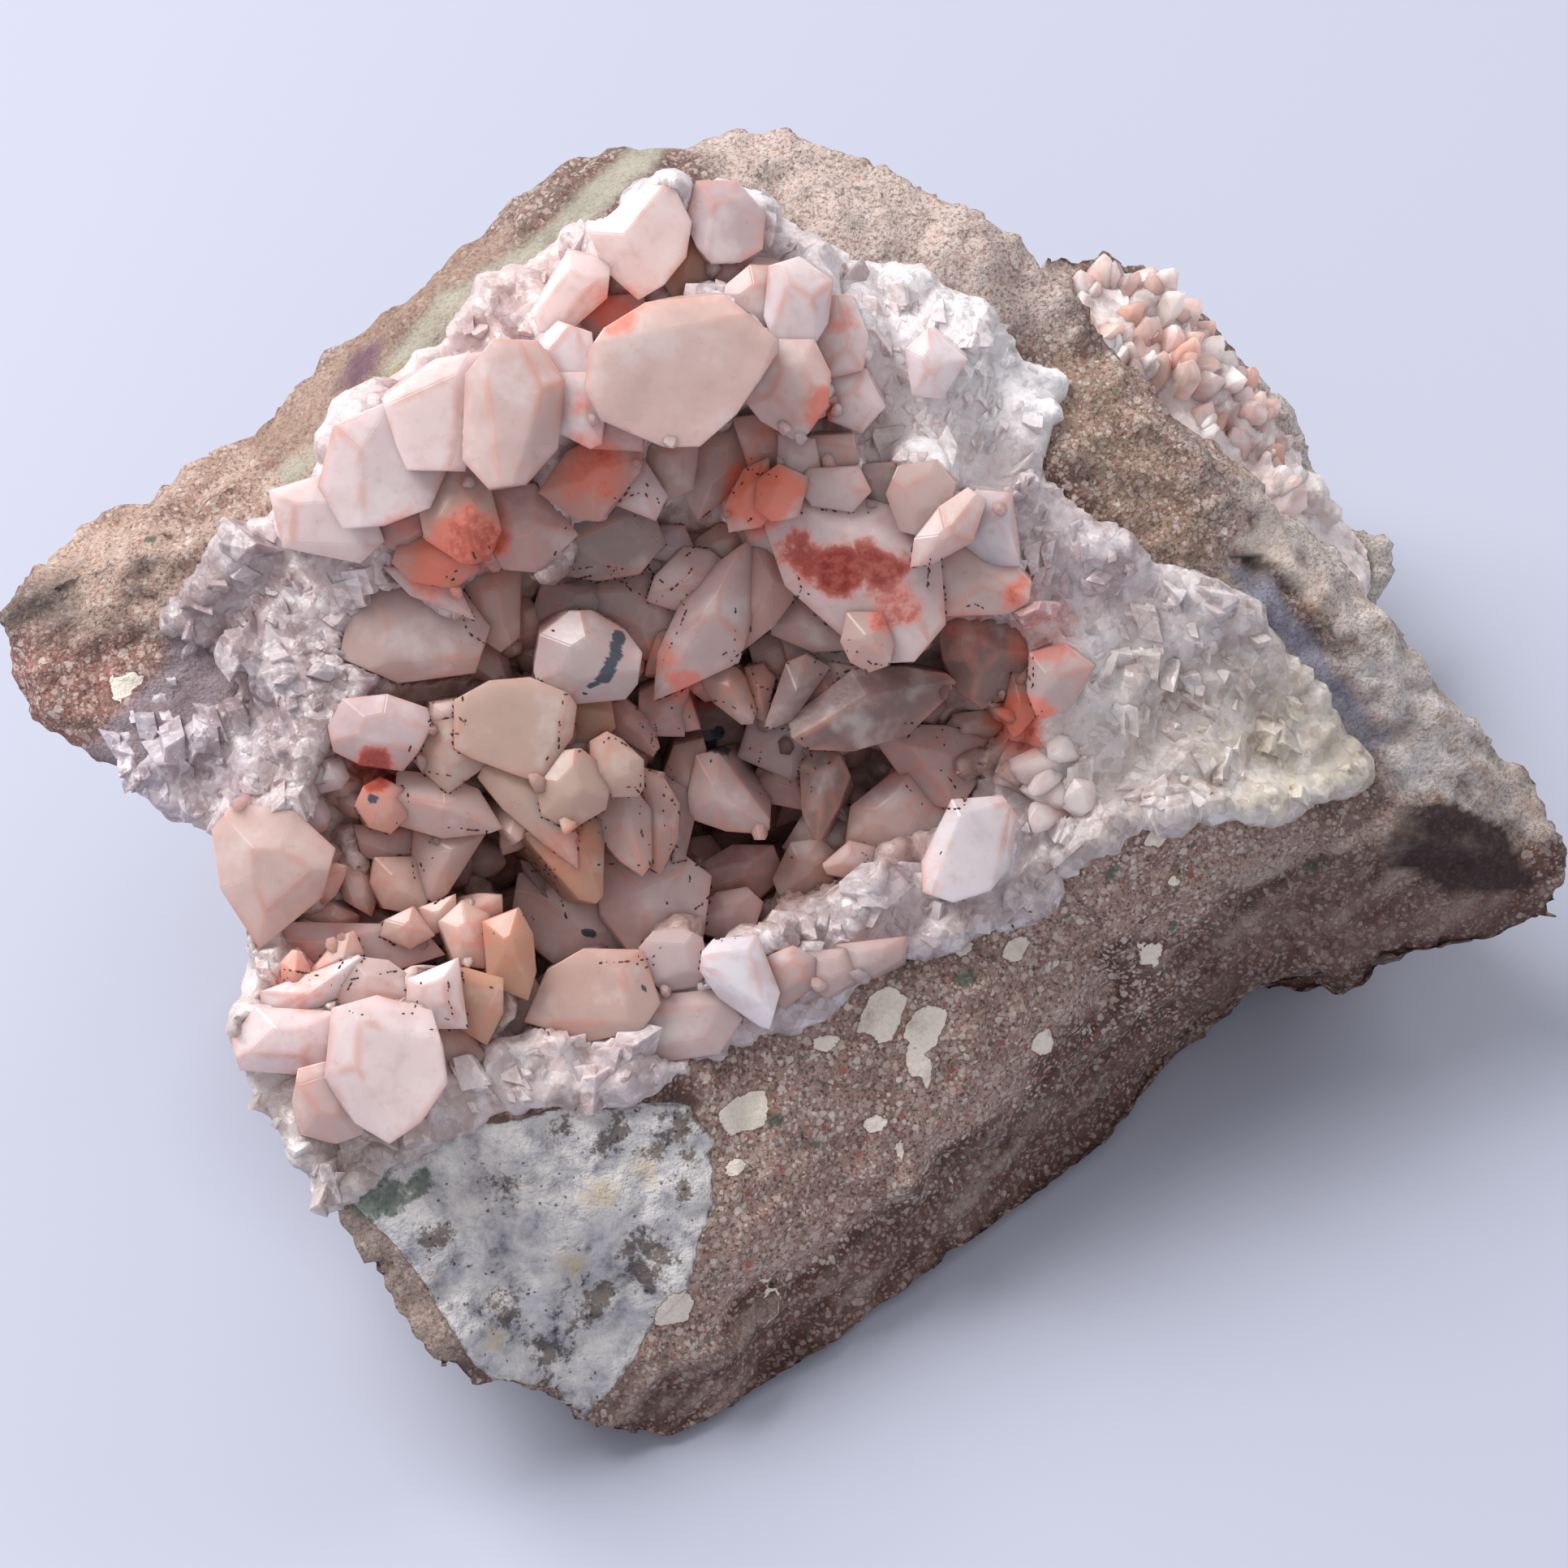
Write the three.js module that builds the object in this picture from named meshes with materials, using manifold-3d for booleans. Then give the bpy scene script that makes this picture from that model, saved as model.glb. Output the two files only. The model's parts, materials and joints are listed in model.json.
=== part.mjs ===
// Calcite crystal pocket: a broken piece of brown breccia whose open hollow is lined with
// pink and white calcite crystals, and a second, smaller lined hollow on its back lobe.
// Millimetres, +Z up, resting on a flat sawn foot, with the hollow facing -Y and up.
import * as THREE from "three";
import { ConvexGeometry } from "three/addons/geometries/ConvexGeometry.js";
import { ImprovedNoise } from "three/addons/math/ImprovedNoise.js";
import { mergeVertices } from "three/addons/utils/BufferGeometryUtils.js";
import Module from "manifold-3d";

const LEAN = 40; // degrees that the mouth of the hollow leans back from level
const MOUTH_HEIGHT = 33.7; // middle of the mouth above the foot
const FIT_GAP = 0.4; // clearance between the calcite and the rock behind it
const SLIVER = 0.22; // faces thinner than this are merged away
const FACET = 10; // longest edge of the broken rock's facets
const POCKET_DEPTH = 27; // calcite and hollow together, below the mouth
const HOLLOW_DEPTH = 19; // the open hollow inside the calcite, at its lower side
const FUNNEL_CURVE = 1.35; // how much the funnel of the hollow bulges below a straight cone
const ROOT_DEPTH = 2.6; // how far each placed crystal reaches on behind its root
const WALL_CRYSTALS = 23; // small crystals scattered over the hollow's wall
const BROKEN_LUMPS = 9; // blocky lumps on the broken calcite around the mouth
const BACK_CRYSTALS = 12;

const ROCK_COLOR = "#8b7468";
const CALCITE_COLOR = "#d9bcb0";

const wasm = await Module();
wasm.setup();

const lean = THREE.MathUtils.degToRad(LEAN);
const noise = new ImprovedNoise();

// The mouth frame has x to the right, y up the mouth's slope and z out of the hollow.
function fromMouth(x, y, z) {
  const up = y * Math.sin(lean) + z * Math.cos(lean);
  const back = y * Math.cos(lean) - z * Math.sin(lean);
  return new THREE.Vector3(x, back, up + MOUTH_HEIGHT);
}

function seededRandom(seed) {
  let state = seed >>> 0;
  return () => {
    state = (state + 0x6d2b79f5) >>> 0;
    let t = Math.imul(state ^ (state >>> 15), 1 | state);
    t = (t + Math.imul(t ^ (t >>> 7), 61 | t)) ^ t;
    return ((t ^ (t >>> 14)) >>> 0) / 4294967296;
  };
}

// Keeps only the positions, so that neighbouring faces share their corners.
function weld(geometry, tolerance = 1e-4) {
  const bare = geometry.clone();
  for (const name of Object.keys(bare.attributes)) {
    if (name !== "position") bare.deleteAttribute(name);
  }
  return mergeVertices(bare, tolerance);
}

function solid(geometry) {
  const welded = weld(geometry);
  const mesh = new wasm.Mesh({
    numProp: 3,
    vertProperties: new Float32Array(welded.attributes.position.array),
    triVerts: new Uint32Array(welded.index.array),
  });
  const made = new wasm.Manifold(mesh);
  if (made.volume() < 0) throw new Error("a shape is inside out");
  return made;
}

function geometryOf(manifold) {
  const mesh = manifold.getMesh();
  const geometry = new THREE.BufferGeometry();
  const flat = new THREE.BufferAttribute(new Float32Array(mesh.vertProperties), 3);
  geometry.setAttribute("position", flat);
  geometry.setIndex(new THREE.BufferAttribute(new Uint32Array(mesh.triVerts), 1));
  return geometry;
}

// Whether every edge still joins just two faces once corners closer than the tolerance meet.
function isWhole(geometry, tolerance) {
  const index = mergeVertices(geometry, tolerance).index.array;
  const sides = new Map();
  for (let i = 0; i < index.length; i += 3) {
    const corners = new Set([index[i], index[i + 1], index[i + 2]]);
    for (let k = 0; k < 3 && corners.size === 3; k++) {
      const a = index[i + k];
      const b = index[i + ((k + 1) % 3)];
      const key = `${a},${b}`;
      if (sides.has(key)) return false;
      sides.set(key, true);
    }
  }
  for (const key of sides.keys()) {
    const [a, b] = key.split(",");
    if (!sides.has(`${b},${a}`)) return false;
  }
  return true;
}

// Corners that nearly touch, though they aren't the same corner, each move a little
// towards the middle of their own neighbours.
function pullApart(geometry, reach, step) {
  const position = geometry.attributes.position;
  const index = geometry.index.array;
  const points = [];
  for (let i = 0; i < position.count; i++) {
    points.push(new THREE.Vector3().fromBufferAttribute(position, i));
  }
  const cells = new Map();
  points.forEach((p, i) => {
    const key = [p.x, p.y, p.z].map((v) => Math.round(v / reach)).join(",");
    cells.set(key, [...(cells.get(key) ?? []), i]);
  });
  const close = new Set([...cells.values()].filter((c) => c.length > 1).flat());
  const sums = new Map([...close].map((i) => [i, new THREE.Vector3()]));
  const counts = new Map([...close].map((i) => [i, 0]));
  for (let i = 0; i < index.length; i += 3) {
    for (let k = 0; k < 3; k++) {
      const corner = index[i + k];
      if (!close.has(corner)) continue;
      sums.get(corner).add(points[index[i + ((k + 1) % 3)]]);
      sums.get(corner).add(points[index[i + ((k + 2) % 3)]]);
      counts.set(corner, counts.get(corner) + 2);
    }
  }
  for (const i of close) {
    const middle = sums.get(i).divideScalar(counts.get(i));
    const move = middle.sub(points[i]);
    points[i].addScaledVector(move, Math.min(1, step / move.length()));
    position.setXYZ(i, points[i].x, points[i].y, points[i].z);
  }
  return geometry;
}

// The biggest body of a cut or a join, with slivers merged away and loose chips left out.
function biggest(manifold) {
  for (let sliver = SLIVER; sliver < 4 * SLIVER; sliver *= 1.12) {
    const bodies = manifold.simplify(sliver).decompose();
    const main = bodies.reduce((a, b) => (b.volume() > a.volume() ? b : a));
    const geometry = pullApart(geometryOf(main), 0.004, 0.03);
    if (isWhole(geometry, 1e-3) && isWhole(geometry, 1e-4)) {
      const made = solid(geometry);
      if (made.decompose().length === 1) return made;
    }
  }
  throw new Error("no tolerance leaves this body whole");
}

// Splits every edge longer than the limit in the middle, until none is left.
function refine(geometry, limit) {
  let points = [];
  const source = geometry.attributes.position;
  for (let i = 0; i < source.count; i++) {
    points.push(new THREE.Vector3().fromBufferAttribute(source, i));
  }
  let faces = [];
  const index = geometry.index.array;
  for (let i = 0; i < index.length; i += 3) {
    faces.push([index[i], index[i + 1], index[i + 2]]);
  }
  for (let pass = 0; pass < 8; pass++) {
    const middles = new Map();
    const middle = (a, b) => {
      if (points[a].distanceTo(points[b]) <= limit) return -1;
      const key = a < b ? `${a},${b}` : `${b},${a}`;
      if (!middles.has(key)) {
        middles.set(key, points.length);
        points.push(points[a].clone().lerp(points[b], 0.5));
      }
      return middles.get(key);
    };
    const next = [];
    for (const [a, b, c] of faces) {
      const ab = middle(a, b);
      const bc = middle(b, c);
      const ca = middle(c, a);
      splitFace(next, [a, b, c], [ab, bc, ca], points);
    }
    faces = next;
    if (middles.size === 0) break;
  }
  const flat = new Float32Array(points.flatMap((p) => [p.x, p.y, p.z]));
  const finer = new THREE.BufferGeometry();
  finer.setAttribute("position", new THREE.BufferAttribute(flat, 3));
  finer.setIndex(faces.flat());
  return finer;
}

// Cuts one face by the middles of its split edges; an unsplit edge has -1.
function splitFace(out, corners, mids, points) {
  const split = mids.filter((m) => m >= 0).length;
  if (split === 0) {
    out.push(corners);
    return;
  }
  if (split === 3) {
    const [a, b, c] = corners;
    const [ab, bc, ca] = mids;
    out.push([a, ab, ca], [ab, b, bc], [ca, bc, c], [ab, bc, ca]);
    return;
  }
  // Turns the face so that its first edge is split, and its last edge is not.
  let turn = 0;
  while (!(mids[turn] >= 0 && mids[(turn + 2) % 3] < 0)) turn++;
  const a = corners[turn];
  const b = corners[(turn + 1) % 3];
  const c = corners[(turn + 2) % 3];
  const ab = mids[turn];
  const bc = mids[(turn + 1) % 3];
  if (bc < 0) {
    out.push([a, ab, c], [ab, b, c]);
    return;
  }
  out.push([ab, b, bc]);
  if (points[a].distanceTo(points[bc]) < points[ab].distanceTo(points[c])) {
    out.push([a, ab, bc], [a, bc, c]);
  } else {
    out.push([a, ab, c], [ab, bc, c]);
  }
}

// Breaks up a smooth surface: a slow sway, then sharper chips.
function roughen(geometry, sway, chips) {
  const position = geometry.attributes.position;
  const p = new THREE.Vector3();
  const shift = (x, y, z, size, seed) => noise.noise(x / size + seed, y / size, z / size - seed);
  for (let i = 0; i < position.count; i++) {
    p.fromBufferAttribute(position, i);
    const { x, y, z } = p;
    p.x += sway * shift(x, y, z, 14, 3.1) + chips * shift(x, y, z, 4.3, 31.7);
    p.y += sway * shift(x, y, z, 14, 7.9) + chips * shift(x, y, z, 4.3, 47.3);
    p.z += sway * shift(x, y, z, 14, 12.3) + chips * shift(x, y, z, 4.3, 71.9);
    position.setXYZ(i, p.x, p.y, p.z);
  }
  return geometry;
}

function brokenLobe(mouthCorners, standingCorners) {
  const corners = mouthCorners.map((c) => fromMouth(...c));
  corners.push(...standingCorners.map((c) => new THREE.Vector3(...c)));
  const hull = weld(new ConvexGeometry(corners), 0.01);
  return solid(roughen(refine(hull, FACET), 2.2, 1.5));
}

// ---- The broken piece of rock: four lobes, joined and cut flat at the foot ----

const MAIN_LOBE = [
  // open left side and the lower left face
  [-38, 10, -2], [-40, 0, -1],
  [-37.6, -17.5, 5], [-36.8, -21.2, 5], [-32.3, -26.9, 6], [-29.4, -33, 6],
  [-23.7, -40.3, 4], [-21.5, -43, 2.5], [-15, -45, 1], [-12.5, -46.6, 0],
  // outer edge of the top rim
  [-37, 25.6, -8], [-27, 35.1, -8], [-16.6, 44.6, -8], [-13, 44.6, -8],
  [-6, 47.2, -8], [4.5, 46, -6], [16, 39.5, -7],
  // inner edge of the top rim, and the crown of the calcite
  [-33, 22.5, -1.5], [-22.5, 32, -1.5], [-12.5, 40.5, -2], [-6, 43.8, -2.5],
  [-12, 33, 2], [-26, 22, 1], [8, 30, 0],
  // right side and lower right face
  [25, 30, -6], [31, 23.5, -5], [25.5, -15, -12], [19, -19, -8],
  [10, -25, -4], [-2, -35, -1], [-12.5, -44, 1],
  // undercut below the lower right face
  [26.3, -20.5, -22], [25.5, -25, -20], [19, -29, -16], [12.7, -33.8, -13],
  [6.7, -38.6, -10], [-2, -44, -6], [-8, -46.6, -3],
];
const MAIN_LOBE_BELOW = [
  [-34, 20, 8], [-26, -2, 4],
  [-18, -14, -2], [8, -16, -2], [24, -2, -2], [34, 12, -2],
  [30, 36, -2], [8, 42, -2], [-14, 34, -2], [-26, 12, -2],
  [-12, 48, 48], [2, 47, 46], [14, 42, 40], [-16, 46, 18], [8, 50, 14],
  [-36, 32, 24], [-28, 40, 40], [-34, 36, 25],
  [25, 38, 20], [38, 28, 12], [50, 15, 8],
];
const WEDGE_LOBE = [
  [-56.8, 11.4, -2], [-56.6, 7.2, -4], [-54, 4.6, -4], [-49, 2, -3], [-43, -1.6, -1],
  [-55.2, 14.2, -5], [-53, 16, -7], [-49.8, 19.6, -8], [-45, 21, -8],
  [-36.8, 25.2, -8], [-27, 33, -9], [-34, 22.5, -1.5], [-24, 24, -3],
  [-30, 8, -1], [-34, -6, -1],
];
const WEDGE_LOBE_BELOW = [
  [-44, 18, 22], [-34, 20, 10], [-37, 30, 28], [-20, 10, 18], [-26, 32, 26],
];
// The open left side is broken in behind the left tip; this is cut out of the lobes.
const LEFT_BREAK = [
  [-46.5, -1.8], [-41, -4.6], [-38.2, -8.2], [-36.4, -12.5], [-37.4, -15.6],
  [-40, -19.5], [-60, -40], [-75, -20], [-70, -6],
];
const WING_LOBE = [
  [16, 39.5, -7], [25, 30, -6], [31, 23.5, -5], [38.5, 16, -8],
  [43.5, 12.2, -11], [49, 5.8, -13], [54.6, 0.8, -16], [58, -5, -17.5],
  [57.8, -9.9, -19], [53.4, -11, -20], [44.6, -12.4, -20.5],
  [36.3, -15, -21], [29.4, -16.5, -22], [26, -18.5, -22], [24, -17, -10],
  [38, -1, -8], [20, -4, -2], [10, 20, -1], [41, -7, -15],
];
const WING_LOBE_BELOW = [
  [25, 34, 22], [38, 26, 12], [50, 14, 9], [44, 10, 5],
  [27, 5, 0], [34, 13, -2], [20, 20, -2],
];
const BACK_LOBE_BELOW = [
  [20, 52, 36], [31.5, 58, 28], [41.5, 49.5, 20], [48, 41.5, 13.5],
  [34, 57, 12], [46, 43, 3], [22, 54, 10], [30, 48, -2], [12, 46, -2],
  [42, 28, -2], [44, 38, -2],
  [12, 34, 36], [24, 28, 30], [36, 18, 18],
];

// ---- The calcite: its outer wall, the hollow inside it and its crystals ----

// Edge of the calcite in the mouth frame, clockwise; its left end runs out past the rock.
const CALCITE_EDGE = [
  [-43.8, 11.8], [-32.3, 23.2], [-23.2, 32.3], [-15.2, 38.6], [-7.8, 42.6],
  [-3.8, 42], [1.9, 38.6], [9.4, 35.8], [15, 33], [19.6, 31.2],
  [20, 27], [17.5, 24], [19, 20.5], [23, 17.5], [26.5, 15.2],
  [30.5, 14], [35, 10], [38.5, 6], [42, 1], [38.5, -1.4],
  [27.7, -2], [20.8, -4.2], [18.5, -8.2], [7.7, -12.8], [-3.8, -18.5],
  [-6, -20.2], [-15.2, -22], [-23.2, -23.7], [-26, -26.5], [-31.8, -28.8],
  [-36, -31], [-44, -24], [-47, -14], [-50, -3], [-46.6, 0.3],
  [-41.5, 3.8], [-36.3, 7.8], [-41.5, 9.5],
];
const HOLLOW_EDGE = [
  [-35.2, -4.8], [-30.6, 4.9], [-26.6, 10.6], [-21, 15.2], [-15.2, 17.5],
  [-10, 19.8], [-3.8, 22], [2, 19.8], [9.4, 15.2], [16.8, 11.8],
  [19, 6.6], [18.5, 0.3], [13.4, -2.5], [5.4, -7.7], [-1, -10.5],
  [-6, -13.4], [-15.2, -17.4], [-21, -19], [-26.6, -16.2], [-35.2, -12.2],
];

// The mouth's face falls away to the right of this line.
const FALL_START = 15;
const FALL = 0.38;
const faceFall = (x) => FALL * Math.max(0, x - FALL_START);

// A bowl with a free outline, as a lathe whose rings are stretched to that outline.
function bowlPoint(curve, middle, depth, turn, ring) {
  const edge = curve.getPointAt(((turn % 1) + 1) % 1);
  const x = middle[0] + (edge.x - middle[0]) * ring.r;
  const y = middle[1] + (edge.y - middle[1]) * ring.r;
  return new THREE.Vector3(x, y, ring.z * depth - faceFall(x));
}

function outlineCurve(edge) {
  const points = edge.map(([x, y]) => new THREE.Vector3(x, y, 0));
  return new THREE.CatmullRomCurve3(points, true, "catmullrom", 0.35);
}

const roundBowl = (i, rings) => {
  const angle = (i / rings) * (Math.PI / 2);
  return { r: Math.sin(angle), z: -Math.cos(angle) };
};
const funnel = (i, rings) => ({ r: i / rings, z: (i / rings) ** FUNNEL_CURVE - 1 });

function bowl(edge, middle, depth, height, sides, rings, section) {
  const profile = [new THREE.Vector2(0, -1)];
  for (let i = 1; i < rings; i++) {
    const ring = section(i, rings);
    profile.push(new THREE.Vector2(ring.r, ring.z));
  }
  profile.push(new THREE.Vector2(1, 0), new THREE.Vector2(1, 1), new THREE.Vector2(0, 1));
  const lathe = weld(new THREE.LatheGeometry(profile, sides), 1e-3);
  const curve = outlineCurve(edge);
  const position = lathe.attributes.position;
  for (let i = 0; i < position.count; i++) {
    const r = Math.hypot(position.getX(i), position.getZ(i));
    const level = position.getY(i);
    const angle = Math.atan2(position.getX(i), position.getZ(i));
    const turn = -angle / (2 * Math.PI);
    const ring = { r, z: level > 0.5 ? 0 : level };
    const p = bowlPoint(curve, middle, depth, turn, ring);
    if (level > 0.5) p.z = height;
    const out = fromMouth(p.x, p.y, p.z);
    position.setXYZ(i, out.x, out.y, out.z);
  }
  return lathe;
}

// Moves every corner out along its normal.
function grow(geometry, distance) {
  const grown = geometry.clone();
  grown.computeVertexNormals();
  const position = grown.attributes.position;
  const normal = grown.attributes.normal;
  for (let i = 0; i < position.count; i++) {
    position.setXYZ(
      i,
      position.getX(i) + normal.getX(i) * distance,
      position.getY(i) + normal.getY(i) * distance,
      position.getZ(i) + normal.getZ(i) * distance,
    );
  }
  return grown;
}

// One six-sided crystal between its root and its tip; the sides alternate in width.
// shape is "spear", one long point, or "blunt", a barrel under a low point.
function crystal(root, tip, width, shape, roll) {
  const length = root.distanceTo(tip);
  const r = width / 2;
  const profile = [new THREE.Vector2(0, 0)];
  if (shape === "spear") {
    profile.push(new THREE.Vector2(r, length * 0.36));
  } else {
    const shoulder = Math.max(length * 0.5, length - width * 0.5);
    profile.push(new THREE.Vector2(r * 0.95, length * 0.3));
    profile.push(new THREE.Vector2(r * 0.86, shoulder));
  }
  profile.push(new THREE.Vector2(0, length));
  const lathe = weld(new THREE.LatheGeometry(profile, 6), 1e-3);
  const position = lathe.attributes.position;
  for (let i = 0; i < position.count; i++) {
    const angle = Math.atan2(position.getX(i), position.getZ(i));
    const side = Math.round((angle * 3) / Math.PI);
    const keep = side % 2 === 0 ? 1.08 : 0.84;
    position.setX(i, position.getX(i) * keep);
    position.setZ(i, position.getZ(i) * keep * 0.84);
  }
  const along = tip.clone().sub(root).normalize();
  const turn = new THREE.Quaternion().setFromAxisAngle(new THREE.Vector3(0, 1, 0), roll);
  const aim = new THREE.Quaternion().setFromUnitVectors(new THREE.Vector3(0, 1, 0), along);
  lathe.applyQuaternion(turn);
  lathe.applyQuaternion(aim);
  lathe.translate(root.x, root.y, root.z);
  return solid(lathe);
}

// Crystals that are placed by hand, in the mouth frame: root, tip, width, shape and roll.
const S = "spear";
const B = "blunt";
const PLACED_CRYSTALS = [
  // under the roof
  [[-12, 28, -2], [-1, 31, 10], 11, B, 0.2],
  [[-21, 28, 0], [-18.5, 23, 11], 8, B, 0.9],
  [[-11.5, 35.5, -1], [-6.5, 41.5, 6], 6, B, 0.1],
  [[-5, 41, -2], [-3.2, 37.5, 6], 5, B, 0.6],
  [[2, 37, -2], [0, 31.5, 5], 5.5, B, 1.1],
  [[2.5, 31, 0], [-0.2, 24.8, 7], 5.2, B, 0.3],
  [[-14.5, 31, 3], [-14.3, 23.8, 8], 3.2, S, 0.5],
  [[-17, 31, 3], [-15.5, 26, 8.5], 3, S, 0.2],
  [[-10, 25.5, 0], [-13.3, 18.8, 6], 5.5, B, 0.8],
  [[-15, 23, 0], [-17.5, 17, 5], 5, B, 0.1],
  [[-23.5, 23, 0], [-21.3, 16, 6], 5, B, 0.4],
  [[-30, 26, -2], [-27.5, 18.8, 5], 7, B, 0.7],
  [[-34, 22, -3], [-30, 18, 3], 5, B, 0.0],
  [[-26, 20, 0], [-24, 14.6, 5], 4.5, B, 1.0],
  [[-28, 15.5, 0], [-21.9, 11.7, 4], 3.4, S, 0.5],
  [[-20.9, 15.2, -3], [-19.3, 9.8, 0], 3.2, S, 0.2],
  [[-17, 21, -2], [-16.5, 15, 4], 5.5, B, 0.6],
  [[-12, 20, -4], [-13.5, 15, 0], 4.5, B, 0.9],
  [[-8, 25, -3], [-9, 19.5, 1], 4.6, B, 0.3],
  // upper right
  [[9, 25, -1], [10, 19, 4], 4.2, B, 0.0],
  [[4.5, 24.5, -1], [3.8, 20, 4], 4.5, B, 0.5],
  [[7, 25, -2], [7, 20, 2.5], 3.6, S, 0.9],
  [[12.8, 19.8, 0], [9.4, 15.4, 3], 3, S, 0.4],
  [[15, 20.5, -1], [14.5, 15.5, 3], 3.6, S, 0.2],
  [[12, 17, -2], [16.8, 12.2, 2.5], 5.5, B, 0.7],
  [[3, 21, -3], [8.5, 8.8, 3], 10, B, 0.35],
  [[5, 13, 2], [6.3, 8.3, 5], 3.4, S, 0.1],
  [[-1.5, 21.5, 0], [-3.6, 17.8, 4], 3.8, B, 0.8],
  [[1, 21.5, 1], [-0.8, 18.6, 5], 3.5, S, 0.2],
  // middle of the roof, hanging into the hollow
  [[-1, 19, -8], [-8.8, 6.2, 1], 7.5, S, 0.55],
  [[-4, 16.5, -7], [-14.6, 13.6, -3], 7, S, 0.2],
  [[-5, 16.5, -3], [-8.8, 13.2, -0.5], 3.8, B, 0.7],
  [[-11.5, 7.5, -10], [-14.8, 9.6, -0.5], 7, B, 0.5],
  [[-22, 5.5, -7], [-15.5, 3.2, 1], 7, B, 0.15],
  [[-14, 4, -6], [-15, -2.5, 1], 4.5, B, 0.6],
  [[-12, 4, -6], [-11.2, 0, 0.5], 3.6, S, 0.3],
  [[-22, 2.5, -5], [-14.7, -5.8, 1], 5.5, S, 0.45],
  [[-16.5, 1, -8], [-13.6, -8, -1], 5.2, S, 0.1],
  [[-13, 1.5, -7], [-10.2, -6, -1], 3.8, B, 0.9],
  [[-8, 4, -8], [-8.8, -6, -2], 4, S, 0.2],
  [[-9, 2.5, -9], [-1.5, -3, -2], 5.5, S, 0.7],
  [[3, 4, -11], [2.4, -3.5, -3], 4, S, 0.5],
  [[0, 5, -13], [0.3, 0, -8], 3, S, 0.2],
  [[-1, 3.5, -10], [11.8, 7.5, -1], 5.2, S, 0.9],
  [[3.5, 10, -8], [-1, 4.3, -1], 3.6, S, 0.4],
  [[-6, 10, -7], [-2.2, 4.6, -1], 3.8, S, 0.1],
  [[-8.5, 7.5, -7], [-7.3, 3.6, -2], 3, S, 0.8],
  [[-11.5, 6.5, -7], [-9.5, 3, -2], 3, S, 0.2],
  [[12, 13.5, -8], [15.6, 5.5, -2], 6, S, 0.3],
  [[8, 13, -9], [9, 8.5, -4], 4, B, 0.1],
  [[-1, 13, -8], [4.5, 10, -3], 3, S, 0.4],
  [[12, 5, -12], [6.8, 1.8, -6], 4, B, 0.5],
  [[15, 6, -11], [10.8, 3, -6], 3.4, S, 0.0],
  [[6, -6, -12], [13, 2.5, -5], 8, B, 0.6],
  [[11, -7, -4], [14.5, -2, 3], 6, B, 0.2],
  [[20, 9, -6], [17.5, 5, -2], 4, B, 0.4],
  [[19.5, 3, -9], [16.5, 0, -5], 4, B, 0.9],
  // along the lower rim
  [[-8.5, -13.5, -6], [-7.5, -9.5, 1], 4.4, B, 0.3],
  [[-2, -15, -3], [-3.5, -11.5, 4], 5.5, B, 0.7],
  [[1, -13.5, -4], [0.5, -12.5, 2], 4, B, 0.1],
  [[-17, -17, -5], [-9.5, -12.5, -1], 6.5, B, 0.5],
  [[-15, -5, -16], [-9, -11.5, -8], 8, B, 0.2],
  [[-6, -8, -14], [-2, -6, -8], 4, B, 0.8],
  [[4, -8, -12], [1.5, -5, -7], 4.5, B, 0.6],
  // left side
  [[-31, 2.5, -4], [-26.5, 4, 2], 4.6, B, 0.1],
  [[-29, 1, -4], [-28, -2.5, 2], 3, S, 0.5],
  [[-28, 0.5, -5], [-20.4, -2.8, 0], 4.2, S, 0.8],
  [[-25, 5, -6], [-22, 0.5, 0], 4.8, B, 0.3],
  [[-33, -8, -5], [-37.5, -5, 3], 7.5, B, 0.6],
  [[-36, -3, -5], [-39.5, -2, 1], 5, B, 0.2],
  [[-35, -6, -4], [-37, -11, 0], 4, B, 0.9],
  [[-22.5, -3, -6], [-25, -8, -1], 4, S, 0.1],
  [[-28, -4.5, -6], [-27.5, -9, -1], 3.6, S, 0.7],
  [[-30, -5, -6], [-31.5, -3, 0], 3, S, 0.3],
  [[-30, -12.5, -3], [-35.5, -10, 3], 4.5, S, 0.5],
  [[-31.5, -16.5, 2], [-30.5, -11, 6], 3, S, 0.75],
  [[-34, -15.5, 4], [-29, -12.5, 8], 3, S, 0.15],
  [[-22.5, -12, -5], [-22.8, -9.5, 0], 3.4, S, 0.8],
  [[-20, -14.5, -3], [-18.8, -9.5, 2], 4.6, S, 0.4],
  [[-21.5, -18.5, -1], [-21, -13.5, 4], 4.4, B, 0.1],
  [[-27, -17, 4], [-27.3, -21.5, 17], 7.5, B, 0.5],
  [[-34, -18, 3], [-37.5, -17, 8], 4.5, B, 0.9],
  [[-24.5, -16, 3], [-24, -13, 8], 4.5, B, 0.3],
];

const CALCITE_MIDDLE = [-8, 4];
const HOLLOW_MIDDLE = [-5, -6.5];

function placedCrystals() {
  return PLACED_CRYSTALS.map(([rootAt, tipAt, width, shape, roll]) => {
    const tip = fromMouth(...tipAt);
    const root = fromMouth(...rootAt);
    root.addScaledVector(root.clone().sub(tip).normalize(), ROOT_DEPTH);
    return crystal(root, tip, width, shape, roll);
  });
}

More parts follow.
